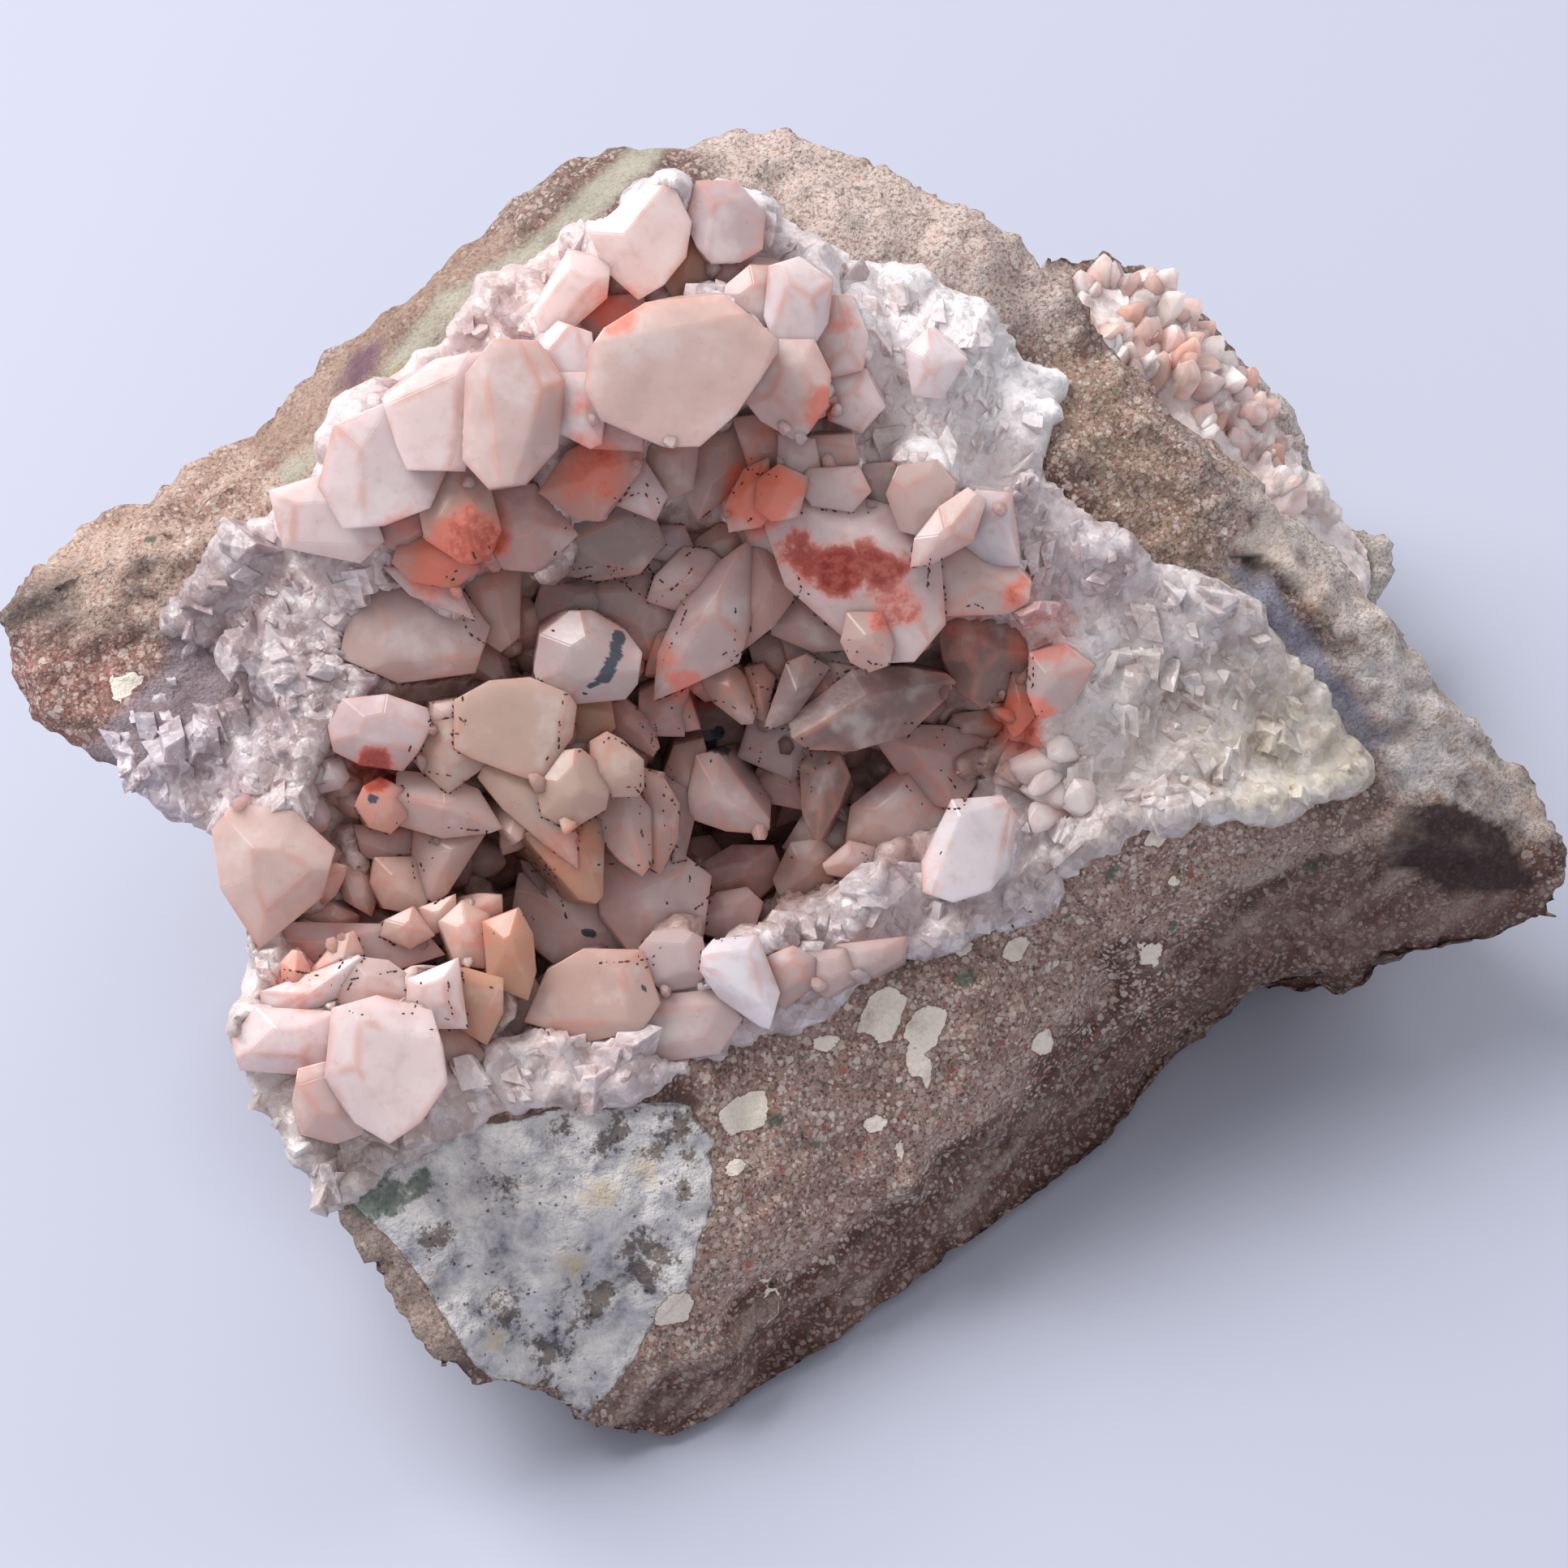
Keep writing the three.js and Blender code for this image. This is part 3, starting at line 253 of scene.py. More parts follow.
    (-2.4, 0.8, 0, (16.6, 5.8), "coral", [(16.1, 7.6), (17.1, 7.2), (17.9, 5.4), (16.6, 3.8), (16.1, 3.5),
     (15.7, 5)]),
    (1, 1, 0.2, (18.8, 7.4), "rose", [(17.5, 9), (19.6, 9.6), (21.5, 8.2), (20, 5.6), (18, 4.8),
     (17.4, 6.6)]),
    # left cluster
    (3, 2, 0.4, (-13.6, 9.2), "white", [(-17.3, 8), (-16.9, 10.4), (-15, 11.9), (-13.6, 11.9),
     (-11.4, 10.6), (-10.3, 9.2), (-10.6, 7.2), (-11.4, 6.2), (-15, 5.9), (-16.9, 6.8)]),
    (3.5, 1.8, 0.75, (-18.6, 4.8), "cream", [(-22.9, 2.6), (-22.9, 5.8), (-20.6, 7), (-18, 7.2),
     (-15.4, 6.2), (-14.9, 5.4), (-15.2, 3.4), (-17.3, 0.4), (-19, 1), (-21.8, 2)]),
    (0.4, 0.8, 0.5, (-13.6, 4.6), "amber", [(-15.2, 6), (-12.4, 6), (-12.2, 4), (-13, 3.2), (-15.6, 2.2)]),
    (3, 1.2, 0.4, (-11.6, 1.6), "cream", [(-13.4, 2.8), (-12.4, 3.4), (-11.4, 2.8), (-10.2, 1.6),
     (-10.1, 0), (-10.4, -0.6), (-12, -0.6), (-13.2, 0.6)]),
    (3.2, 1.4, 0.3, (-15, 0), "cream", [(-17, 0.6), (-16, 2), (-14.4, 2.2), (-13.4, 1.4), (-12.6, -0.4),
     (-12.8, -1.6), (-15, -2.9), (-16.8, -2), (-17.1, -0.4)]),
    (2, 1.2, 0.3, (-18.2, -0.8), "cream", [(-21.3, 0.3), (-20.6, 1.6), (-17.4, 0.6), (-16, -1.4),
     (-14.8, -3.4), (-14.7, -5.8), (-17, -3.9), (-19.4, -1.8)]),
    (1, 1.4, 0, (-14.4, -4), "amber", [(-18.2, -3.6), (-15, -2.6), (-13.6, -2), (-12.8, -3.2),
     (-12.9, -7.6), (-13.3, -8.1), (-14.4, -7.8), (-16.4, -5.4)]),
    (1, 1, 0.2, (-11, -2.8), "beige", [(-13.2, -2), (-12.2, -0.6), (-10.6, -0.6), (-9.6, -2), (-9.5, -5.4),
     (-10.1, -6.2), (-11.4, -5.2), (-12.5, -3.8)]),
    (0, 1.2, 0.2, (-8.8, -2.4), "beige", [(-10, 1), (-8.4, 0), (-7.6, -1.6), (-7.7, -3.6), (-8.7, -6.1),
     (-9.3, -5.6), (-9.8, -2.6)]),
    (-2, 0.8, 0.2, (-7.4, -2), "grey", [(-8.4, 0.4), (-7, -0.6), (-6.6, -2.4), (-7, -5), (-7.8, -5.2)]),
    (3, 1.4, 0.4, (-28.4, 3.8), "lilac", [(-31.8, 4), (-30.8, 5.8), (-28, 6), (-25.4, 5.2), (-25.1, 4),
     (-26, 2.4), (-27, 1.2), (-29.6, 1.6), (-31.4, 2.4)]),
    (2.4, 1, 0.3, (-23.6, 2), "cream", [(-26.2, 2), (-25, 4), (-23, 4.4), (-21.6, 2.6), (-20.9, 1.6),
     (-23.6, -0.3), (-24.2, 0.2)]),
    (2, 0.5, 0.3, (-23.6, 4.8), "pink", [(-24.4, 5.4), (-22.9, 5.7), (-22.8, 3.9), (-24.6, 3.9)]),
    (1.5, 1.2, 0.1, (-24, -1.6), "rose", [(-27, 0.8), (-24, 0.3), (-21.8, -0.5), (-20.1, -3), (-21, -3.3),
     (-24, -3.5), (-26.9, -2.8), (-27.1, -1)]),
    (2.2, 0.9, 0.4, (-28.4, -1.4), "coral", [(-29.9, -1.5), (-29.4, -0.4), (-28.4, 0.2), (-26.9, -0.6),
     (-26.8, -2.2), (-27.8, -3.2), (-29, -2.8)]),
    (0, 1.4, 0, (-23.4, -4.6), "rose", [(-25.9, -3.3), (-21.2, -3.6), (-23.8, -7.4), (-24.6, -8),
     (-25.4, -7.6), (-25.9, -5.2)]),
    (0, 1, 0.3, (-27, -7), "peach", [(-28.6, -5.4), (-26, -5.4), (-25.4, -7.4), (-25.4, -8.2),
     (-26.4, -8.8), (-28, -8.5), (-28.8, -7)]),
    (-1, 0.8, 0.5, (-27.6, -4.2), "blush", [(-30, -3), (-26, -3.2), (-24.8, -5), (-27, -5.6), (-29.4, -5)]),
    # deep in the hollow
    (-6, 0.8, 0.3, (13, 4), "beige", [(11.2, 3.4), (12.2, 4.7), (14.2, 5), (15.2, 4), (14, 3), (12, 2.5)]),
    (-7, 1.2, 0.3, (11, 1.6), "pink", [(6.8, 2.8), (8.4, 4), (11.4, 3.8), (14, 3), (13.4, 0.4),
     (12.2, -1.4), (10, -1.2), (8.4, 0.8)]),
    (-5, 1.6, 0.3, (7.2, -1.8), "pink", [(4.6, -4.2), (5, -1.6), (8.8, 1.4), (11, 0.6), (12.4, -1.4),
     (11.8, -3), (9.8, -6), (6.4, -4.6)]),
    (-4, 1.6, 0, (2.8, 0.4), "grey", [(1.3, 1.2), (2.6, 2.5), (4, 1.7), (4.4, 0.4), (3.6, -1.4),
     (2.6, -3.6), (2.1, -3.6), (1.5, -1.8)]),
    (-6.5, 1, 0.3, (0.2, 1.6), "blush", [(-1.2, 3.6), (0.8, 3.4), (1.8, 1.4), (1.5, -1.6), (-1.4, -1),
     (-1.4, 1)]),
    (-3, 0.8, 0.2, (-6.8, 0.6), "beige", [(-7.6, 2.4), (-5.8, 2.9), (-5.5, 1.4), (-6.2, -1.9), (-7.1, -2.2),
     (-8.2, 0.6)]),
    (-2, 1.2, 0.2, (-4.6, -0.8), "white", [(-6, 1.8), (-4.6, 2), (-1.3, -2.4), (-1.3, -3), (-1.7, -3.3),
     (-4, -3), (-6.8, -2.2)]),
    (-7, 1, 0.2, (-7, -7), "beige", [(-8.5, -6.6), (-6, -5.4), (-5.9, -7.2), (-6.4, -9.6), (-7.6, -9)]),
    (-7, 1, 0.3, (-3.4, -6), "blush", [(-6.2, -6), (-3.6, -4.6), (-1, -4.5), (-0.3, -6.4), (-2, -7.8),
     (-5, -8), (-6.2, -7)]),
    (-6, 1, 0.3, (1.4, -6), "beige", [(-0.5, -6.6), (0.6, -4.4), (2.4, -4.1), (3.5, -5), (3.1, -6.7),
     (1.2, -7.9), (-0.1, -7.7)]),
    (-5, 1, 0.3, (-4, -9), "pink", [(-6, -9), (-4.6, -7.9), (-2.8, -7.5), (-1.8, -8.4), (-2.3, -9.8),
     (-4, -10.7), (-5.8, -10.2)]),
    (-4, 0.8, 0.3, (4.6, -5.4), "pink", [(3, -5.6), (4.6, -4.3), (6.1, -4.6), (6.1, -6.1), (4.6, -6.3),
     (3.3, -6.2)]),
    (-9, 1.5, 0.2, (0.5, 3.6), "pearl", [(-3, 2), (-2, 5), (1, 6), (4, 5), (4.4, 2.4), (0.5, 0.6)]),
    (-9, 1.5, 0.2, (3.6, -4), "pearl", [(0.2, -4.4), (2, -1.6), (5, -1.6), (6.4, -4.6), (3, -6.8)]),
    (-9, 1.4, 0.2, (-5.6, 3.4), "white", [(-9, 3), (-7.6, 5.6), (-4, 5.4), (-2.4, 2.8), (-4.6, 1.4),
     (-7.6, 1.2)]),
    (-8, 1.4, 0.2, (-14, 13), "white", [(-17.6, 11.6), (-16.6, 14.6), (-12, 15), (-10.4, 12), (-12, 9.6)]),
    (-9, 1.4, 0.2, (-9.6, -8), "pearl", [(-13, -5), (-8, -4.6), (-5.4, -6.6), (-6, -11), (-10, -12.6),
     (-12.6, -9)]),
    (-5.4, 1.2, 0.6, (-13, -8.6), "pearl", [(-18.4, -6.4), (-15, -8), (-11, -6), (-8, -6.4), (-7.6, -9.6),
     (-9.6, -12), (-16, -12.4), (-19, -10)]),
    (-5.4, 0.8, 0.2, (-16.8, -8), "white", [(-18.4, -5.6), (-16.8, -6.2), (-15.5, -9.6), (-16.2, -10.4),
     (-17.4, -9.4)]),
    # lower rim
    (2.6, 1.6, 0.6, (13.2, -3.8), "snow", [(11.9, -1.4), (15.2, -1.1), (16.1, -2.4), (15.6, -5.6),
     (14.4, -7.2), (12, -8), (10, -7.4), (10, -5.4)]),
    (1.5, 1.2, 0.5, (-7.8, -12.4), "white", [(-9.9, -11.6), (-9, -10.6), (-7.2, -10.4), (-6, -11),
     (-5.6, -13), (-6.4, -14), (-8.4, -14.3), (-9.8, -13.2)]),
    (3.2, 1.4, 0.5, (-3.4, -13.2), "snow", [(-5.5, -12), (-4.8, -11.2), (-2, -10.9), (-1.5, -12.4),
     (-0.6, -14.6), (-1.2, -17), (-1.8, -16.8), (-4.4, -14.8), (-5.6, -13.2)]),
    (2, 0.8, 0.4, (0.6, -13.4), "white", [(-1.2, -12.4), (0.6, -11.7), (2, -12.4), (1.9, -14), (0, -15.5),
     (-0.8, -14.6)]),
    (1.6, 0.8, 0.4, (3.4, -13), "pink", [(1.9, -12), (4.2, -11.8), (4.9, -13.6), (3, -14.7), (1.8, -14)]),
    (1.4, 0.8, 0.4, (6, -12.2), "white", [(4, -11.4), (6, -11.3), (8.3, -10.9), (8, -12.3), (6, -13.3),
     (4.7, -13.3)]),
    (0.5, 1.2, 0.7, (-13.4, -14.8), "beige", [(-18, -16.6), (-16.4, -13.2), (-14, -11.9), (-10.2, -11.9),
     (-9.6, -14), (-9, -15.4), (-10.2, -17.1), (-13.6, -17.8)]),
    (1.4, 0.8, 0.5, (-6.8, -16.8), "pink", [(-10, -17), (-8.4, -15.1), (-5, -14.7), (-3.2, -16.6),
     (-4.8, -18.8), (-8, -19.2), (-10, -18.6)]),
    # lower left
    (4, 2.2, 0.4, (-36, -6), "rose", [(-40, -3.4), (-38.4, -1.6), (-34.6, -2.2), (-31.9, -4.6),
     (-32.8, -7.8), (-35.6, -9.7), (-36.9, -11.3), (-37.7, -9.8), (-39.4, -7.2)]),
    (1.6, 0.8, 0.6, (-30, -11.4), "pink", [(-36, -9.8), (-33.8, -9.9), (-30, -10.2), (-26, -10), (-24, -12),
     (-27.6, -13), (-31, -13.4), (-35, -12.9), (-35.9, -11.4)]),
    (4.6, 0.8, 0, (-34.4, -13.4), "peach", [(-35.2, -12.8), (-34.6, -12), (-34, -12.1), (-33.3, -13.8),
     (-33.6, -15.6), (-35.1, -15.6)]),
    (4.4, 0.8, 0, (-31, -12.2), "peach", [(-33.4, -13.4), (-31.2, -11), (-30.4, -10.6), (-29.9, -12),
     (-30.6, -13.4), (-32, -14.4)]),
    (5, 1, 0.1, (-33.4, -14.8), "pearl", [(-36.6, -14.6), (-34, -13.7), (-30.2, -12.2), (-29.8, -12.6),
     (-31.4, -14.8), (-34.4, -16.4), (-36.4, -16)]),
    (5.2, 1, 0.3, (-28.8, -14.2), "pink", [(-30.5, -12.3), (-28, -12.7), (-26, -14), (-26.4, -15.9),
     (-30, -15.9), (-31.8, -14.8)]),
    (5.4, 1, 0.4, (-24.6, -14.6), "pearl", [(-26.2, -13.9), (-23.1, -12.5), (-22.9, -15.2), (-22.5, -17),
     (-24.8, -16.9), (-26.3, -15.4)]),
    (3, 0.8, 0.5, (-21.4, -15), "amber", [(-23.3, -12.9), (-20, -13.9), (-20.1, -16), (-21, -18.1),
     (-22.6, -17), (-23.3, -15)]),
    (3.4, 1.2, 0.2, (-19.4, -11.2), "amber", [(-21, -9.9), (-18.7, -9), (-17.9, -10.8), (-17.7, -13),
     (-18.1, -14.9), (-20.6, -13.9)]),
    (2.6, 1, 0.3, (-22.4, -10.4), "peach", [(-24, -9.8), (-22.6, -8.5), (-21, -9.4), (-20.6, -12.8),
     (-23, -12.4)]),
    (2.4, 0.6, 0.2, (-26.4, -10), "peach", [(-27.8, -9.7), (-26.2, -8.9), (-24.9, -10.6), (-26.4, -11.3),
     (-28.1, -10.6)]),
    (1.4, 0.6, 0.2, (-24.4, -9.2), "peach", [(-25.4, -8.8), (-23.3, -8), (-23.4, -9.8), (-24.8, -10.4)]),
    (14, 2.5, 0.5, (-28, -19.6), "pearl", [(-31.6, -16), (-28.6, -15.2), (-25, -16.2), (-24.3, -18.6),
     (-24, -21), (-25.6, -23.4), (-27.8, -25), (-30, -23.6), (-32, -20.4)]),
    (7, 1.6, 0.4, (-35, -18), "pearl", [(-38.6, -18), (-37, -15.9), (-35.4, -16), (-31.6, -16.2),
     (-31.2, -18.6), (-33, -20.3), (-35.6, -20), (-38, -20)]),
    (6, 1, 0.4, (-32.2, -22.4), "rose", [(-34, -20.3), (-31.4, -19.6), (-30, -22), (-29.8, -24.4),
     (-31.6, -25), (-33.6, -24.4), (-34.3, -22.4)]),
    (4, 0.8, 0.3, (-23.4, -18.4), "peach", [(-22.6, -17.2), (-24.8, -16.6), (-25, -19.2), (-22, -20.2),
     (-21.3, -19)]),
]

# How far outlines grow so that neighbours overlap, how much slimmer a crystal is at its root,
# the gap that crystals of one piece keep, and a height below every crystal: millimetres.
OUTLINE_GROWTH = 0.35
ROOT_SHARE = 0.8
CRYSTAL_GAP = 0.4
NO_COVER = -99.0

# Iron stains, as columns along the mouth's z: x, y, radius, redness and strength.
STAINS = [
    (-21.5, 17.4, 3.4, 0.7, 1.0), (-24.3, 15.8, 3.6, 0.3, 0.9), (-1.8, 20.3, 3.2, 0.2, 1.1),
    (6.4, 15, 2.6, 1.0, 1.1), (7.8, 12.2, 2.8, 0.8, 0.8), (3.6, 15, 2.6, 1.0, 1.1),
    (1.4, 15.8, 2.4, 0.9, 1.0), (-13.2, 22, 3.6, 0.6, 0.8),
    (-11.8, 33.5, 2.4, 0.5, 0.8), (-28.9, 0.8, 2.2, 0.9, 1.0), (18.2, 10.6, 3.6, 0.5, 0.7),
    (16.8, 4.4, 3.0, 0.5, 0.9), (16.2, 13.4, 1.8, 0.6, 0.9), (10, 1, 5, 0.1, 0.4),
    (-6.8, 6.6, 2.4, 0.4, 0.8), (-22, -10.5, 2.4, 0.1, 0.5), (-19, -12, 3, 0.1, 0.4),
    (-15.2, -4.8, 3, 0.0, 0.5), (-34, -13.4, 3.4, 0.2, 0.6), (2.8, 26.4, 1.8, 0.2, 0.8),
    (3.9, 32.6, 1.6, 0.2, 0.6), (-8.6, 9, 2.6, 0.5, 0.6), (-1.5, 24, 2.0, 0.3, 0.5),
    (-26.5, 18.4, 2.4, 0.4, 0.5), (-30, -9.5, 3, 0.3, 0.45), (13, 11, 3, 0.3, 0.5),
    (-14.5, 26.5, 1.6, 0.4, 0.6), (9.5, -6.5, 4, 0.1, 0.35), (-17, 12, 3, 0.3, 0.4),
]
INCLUSIONS = [
    (-4.8, 3, 0.8), (-3.9, 3.5, 0.7), (-11.5, 9.8, 0.9), (-12, 8.9, 1.0), (-12.6, 7.9, 0.85),
    (-13.3, 7.2, 0.5), (-14.1, -10.7, 0.7),
    (-9.9, -14.2, 0.35), (-28.6, -1.2, 0.6),
]

# Broad tones of the broken calcite: place as seen from the front, reach and colour.
CRUST_TONES = [
    (-7, 40, 6, (236, 228, 234)), (3, 34, 6, (226, 212, 214)), (9, 33, 5, (230, 217, 218)),
    (12, 28, 6, (255, 251, 253)), (18, 28, 4, (254, 248, 250)), (8, 22, 6, (232, 216, 214)),
    (16, 20, 5, (212, 196, 198)), (22, 15, 5, (206, 190, 196)), (30, 11, 5, (206, 194, 196)),
    (26, 6, 6, (236, 226, 220)), (34, 5, 4, (218, 208, 188)), (22, 1, 5, (228, 214, 210)),
    (14, -6, 5, (210, 196, 198)), (4, -12, 5, (216, 202, 206)), (-8, -17, 5, (214, 198, 200)),
    (-18, -20, 5, (216, 198, 198)), (-30, 22, 7, (232, 214, 216)), (-38, 13, 5, (178, 161, 166)),
    (-36, 5, 6, (166, 147, 152)), (-44, 2, 5, (190, 178, 190)), (-34, -3, 5, (214, 198, 200)),
    (-38, -14, 6, (222, 204, 202)), (-33, -23, 6, (204, 190, 186)), (-16, 33, 7, (222, 198, 196)),
]
# Where the broken calcite is white and granular, as seen from the front: place and reach.
SUGAR = [(10, 32, 6), (17, 28, 5), (5, 35, 4), (12, 25, 5), (-4, 41, 3), (20, 8, 4), (14, -5, 3)]
BACK_TONES = [(250, 232, 228), (248, 240, 238), (240, 204, 190)]
# Colour of the lining inside the hollow, warmer and partly painted shade, and the painted shade it takes
# deeper down.
HOLLOW_LINING_AND_SHADE = (204, 174, 166)
DEEP_PAINTED_SHADE = (200, 166, 156)


def linear(rgb):
    """A 0 to 255 screen colour as linear light."""
    c = np.asarray(rgb, float) / 255
    return np.where(c <= 0.04045, c / 12.92, ((c + 0.055) / 1.055) ** 2.4)


def rgba(rgb):
    return (*[float(v) for v in linear(rgb)], 1.0)


# ---- Repeatable noise over points in millimetres ----

def hash01(cell, seed):
    """A repeatable number from 0 to 1 for every whole-number cell."""
    c = cell.astype(np.int64)
    mask = 0xFFFFFFFF
    h = (c[..., 0] * 374761393 + c[..., 1] * 668265263 + c[..., 2] * 1274126177) & mask
    h = (h + seed * 40503) & mask
    h = ((h ^ (h >> 15)) * 2246822519) & mask
    h = ((h ^ (h >> 13)) * 3266489917) & mask
    return ((h ^ (h >> 16)) & 0xFFFFFF) / 0xFFFFFF


def ripple(points, size, seed):
    """Smooth noise, about -1 to 1, with features of that size."""
    q = points / size
    base = np.floor(q).astype(np.int64)
    f = q - base
    u = f * f * f * (f * (f * 6 - 15) + 10)
    total = np.zeros(len(points))
    for corner in product((0, 1), repeat=3):
        k = np.array(corner)
        weight = np.prod(np.where(k == 1, u, 1 - u), axis=1)
        slope = np.stack([hash01(base + k, seed + s) for s in (0, 101, 211)], -1) * 2 - 1
        total += weight * ((f - k) * slope).sum(1)
    return total * 1.7


def chips(points, size, seed):
    """The random cell each point lies in: offset from its middle, four random numbers
    and the distance to the next cell."""
    q = points / size
    base = np.floor(q).astype(np.int64)
    nearest = np.full(len(q), 1e9)
    second = np.full(len(q), 1e9)
    offset = np.zeros_like(q)
    home = np.zeros_like(base)
    for shift in product((-1, 0, 1), repeat=3):
        cell = base + np.array(shift)
        place = cell + np.stack([hash01(cell, seed + s) for s in (0, 17, 31)], -1)
        d = q - place
        far = (d * d).sum(-1)
        closer = far < nearest
        second = np.where(closer, nearest, np.minimum(second, far))
        nearest = np.where(closer, far, nearest)
        offset[closer] = d[closer]
        home[closer] = cell[closer]
    numbers = np.stack([hash01(home, seed + s) for s in (53, 71, 89, 113)], -1)
    return offset * size, numbers, (np.sqrt(second) - np.sqrt(nearest)) * size


def facets(points, size, seed, tilt, step):
    """Height of a surface broken into flat, tilted facets of that size."""
    offset, numbers, _ = chips(points, size, seed)
    lean = (numbers[:, :3] - 0.5) * 2 * tilt
    return (offset * lean).sum(1) + (numbers[:, 3] - 0.5) * step


def corners(points, size, seed, steep):
    """Height of a surface covered by the corners of blocks of that size, turned at random."""
    q = points / size
    base = np.floor(q).astype(np.int64)
    height = np.full(len(q), -1e9)
    for shift in product((-1, 0, 1), repeat=3):
        cell = base + np.array(shift)
        away = q - cell - np.stack([hash01(cell, seed + s) for s in (0, 17, 31)], -1)
        first = np.stack([hash01(cell, seed + s) for s in (53, 71, 89)], -1) - 0.5
        first /= np.linalg.norm(first, axis=1)[:, None] + 1e-9
        second = np.cross(first, (0.36, 0.48, 0.8))
        second /= np.linalg.norm(second, axis=1)[:, None] + 1e-9
        third = np.cross(first, second)
        reach = np.max([np.abs((away * axis).sum(1)) for axis in (first, second, third)], axis=0)
        peak = 0.35 * hash01(cell, seed + 113)
        height = np.maximum(height, peak - reach)
    return (height + 0.2) * size * steep


def fade(low, high, value):
    t = np.clip((value - low) / (high - low), 0, 1)
    return t * t * (3 - 2 * t)


def edge_distance(points, outline):
    """Distance from points (n, 2) to a closed outline, less than zero inside it."""
    a = np.asarray(outline, float)
    b = np.roll(a, -1, axis=0)
    best = np.full(len(points), 1e9)
    inside = np.zeros(len(points), bool)
    for p, q in zip(a, b):
        d = q - p
        t = np.clip(((points - p) @ d) / (d @ d), 0, 1)
        best = np.minimum(best, np.hypot(*(points - p - t[:, None] * d).T))
        spans = (p[1] > points[:, 1]) != (q[1] > points[:, 1])
        with np.errstate(divide="ignore", invalid="ignore"):
            cross = p[0] + (points[:, 1] - p[1]) * d[0] / d[1]
        inside ^= spans & (points[:, 0] < cross)
    return np.where(inside, -best, best)


def away_from(points, x, y, reach):
    """Distance of points (n, 2) from a place, in units of a reach."""
    return np.hypot(*(points - (x, y)).T) / reach


def to_mouth(points):
    """Standing frame to mouth frame, millimetres."""
    return (points - np.array(MOUTH_AT) / MM) @ MOUTH_TURN


def from_front(mouth):
    """Where points of the mouth frame are seen from the front, in millimetres."""
    nearer = VIEW_DISTANCE / (VIEW_DISTANCE - mouth[:, 2])
    return mouth[:, :2] * nearer[:, None]


def mix(under, over, mask):
    """Lays a colour over colours where the mask says."""
    return under + (np.asarray(over) - under) * np.clip(mask, 0, 1)[:, None]


# ---- Meshes ----

def new_object(name, mesh):
    made = bpy.data.objects.new(name, mesh)
    bpy.context.scene.collection.objects.link(made)
    return made


def places(mesh):
    co = np.empty(len(mesh.vertices) * 3, np.float32)
    mesh.vertices.foreach_get("co", co)
    return co.reshape(-1, 3).astype(float) / MM


def normals(mesh):
    no = np.empty(len(mesh.vertices) * 3, np.float32)
    mesh.vertices.foreach_get("normal", no)
    return no.reshape(-1, 3).astype(float)


def put(mesh, points):
    mesh.vertices.foreach_set("co", (points * MM).astype(np.float32).ravel())
    mesh.update()


def write_colour(mesh, name, colours):
    layer = mesh.attributes.new(name, "FLOAT_COLOR", "POINT")
    full = np.ones((len(mesh.vertices), 4), np.float32)
    full[:, :3] = colours
    layer.data.foreach_set("color", full.ravel())


def write_number(mesh, name, values):
    layer = mesh.attributes.new(name, "FLOAT", "POINT")
    layer.data.foreach_set("value", np.asarray(values, np.float32))


def even_copy(name, node, voxel):
    """A closed copy of a CAD node with small, even faces."""
    bm = bmesh.new()
    bm.from_mesh(frame["nodes"][node].data)
    bmesh.ops.remove_doubles(bm, verts=bm.verts, dist=1e-6)
    mesh = mesh_of(bm, name)
    made = new_object(name, mesh)
    remesh = made.modifiers.new("even", "REMESH")
    remesh.mode = "VOXEL"
    remesh.voxel_size = voxel * MM
    remesh.use_smooth_shade = True
    fine = bpy.data.meshes.new_from_object(
        made.evaluated_get(bpy.context.evaluated_depsgraph_get())
    )
    made.modifiers.clear()
    made.data = fine
    fine.name = name
    bpy.data.meshes.remove(mesh)
    return made


def mesh_of(bm, name):
    mesh = bpy.data.meshes.new(name)
    bm.to_mesh(mesh)
    bm.free()
    return mesh


def joined(name, parts):
    """Joins objects into one, at the origin."""
    with bpy.context.temp_override(
        active_object=parts[0], selected_editable_objects=parts, selected_objects=parts
    ):
        bpy.ops.object.join()
    parts[0].name = name
    parts[0].data.name = name
    return parts[0]


def dress(piece, material, slot, *nodes):
    """Gives a piece its material and its body, and hides the nodes that it stands for. The slot argument is
    not used.
    """
    piece.data.materials.clear()
    piece.data.materials.append(material)
    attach(piece, "root")
    if nodes:
        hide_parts(*nodes)
    return piece


# ---- Crystals, each cut from a block by its natural faces ----

def cut(bm, normal, distance):
    """Cuts the solid by a plane at a distance from the origin along its normal."""
    cut_at(bm, Vector(normal).normalized() * distance, normal)


def cut_at(bm, point, normal):
    """Cuts off what lies beyond a plane through a point."""
    made = bmesh.ops.bisect_plane(
        bm,
        geom=[*bm.verts, *bm.edges, *bm.faces],
        plane_co=point,
        plane_no=Vector(normal).normalized(),
        clear_outer=True,
    )
    edges = [g for g in made["geom_cut"] if isinstance(g, bmesh.types.BMEdge)]
    if len(edges) > 2:
        bmesh.ops.edgeloop_fill(bm, edges=edges)


def cone_faces(bm, low, high, skew, random, only=None):
    """Six faces of one cone between two (radius, height) rings."""
    (r0, z0), (r1, z1) = low, high
    rise = math.atan2(r0 - r1, z1 - z0)
    for side in range(6):
        if only is not None and side % 2 != only:
            continue
        a = math.radians(side * 60 + (skew if side % 2 else -skew))
        normal = Vector((math.cos(a) * math.cos(rise), math.sin(a) * math.cos(rise), math.sin(rise)))
        reach = (r0 * math.cos(rise) + z0 * math.sin(rise)) * (1 + random.uniform(-0.12, 0.12))
        cut(bm, normal, reach * (0.93 if side % 2 else 1.0))


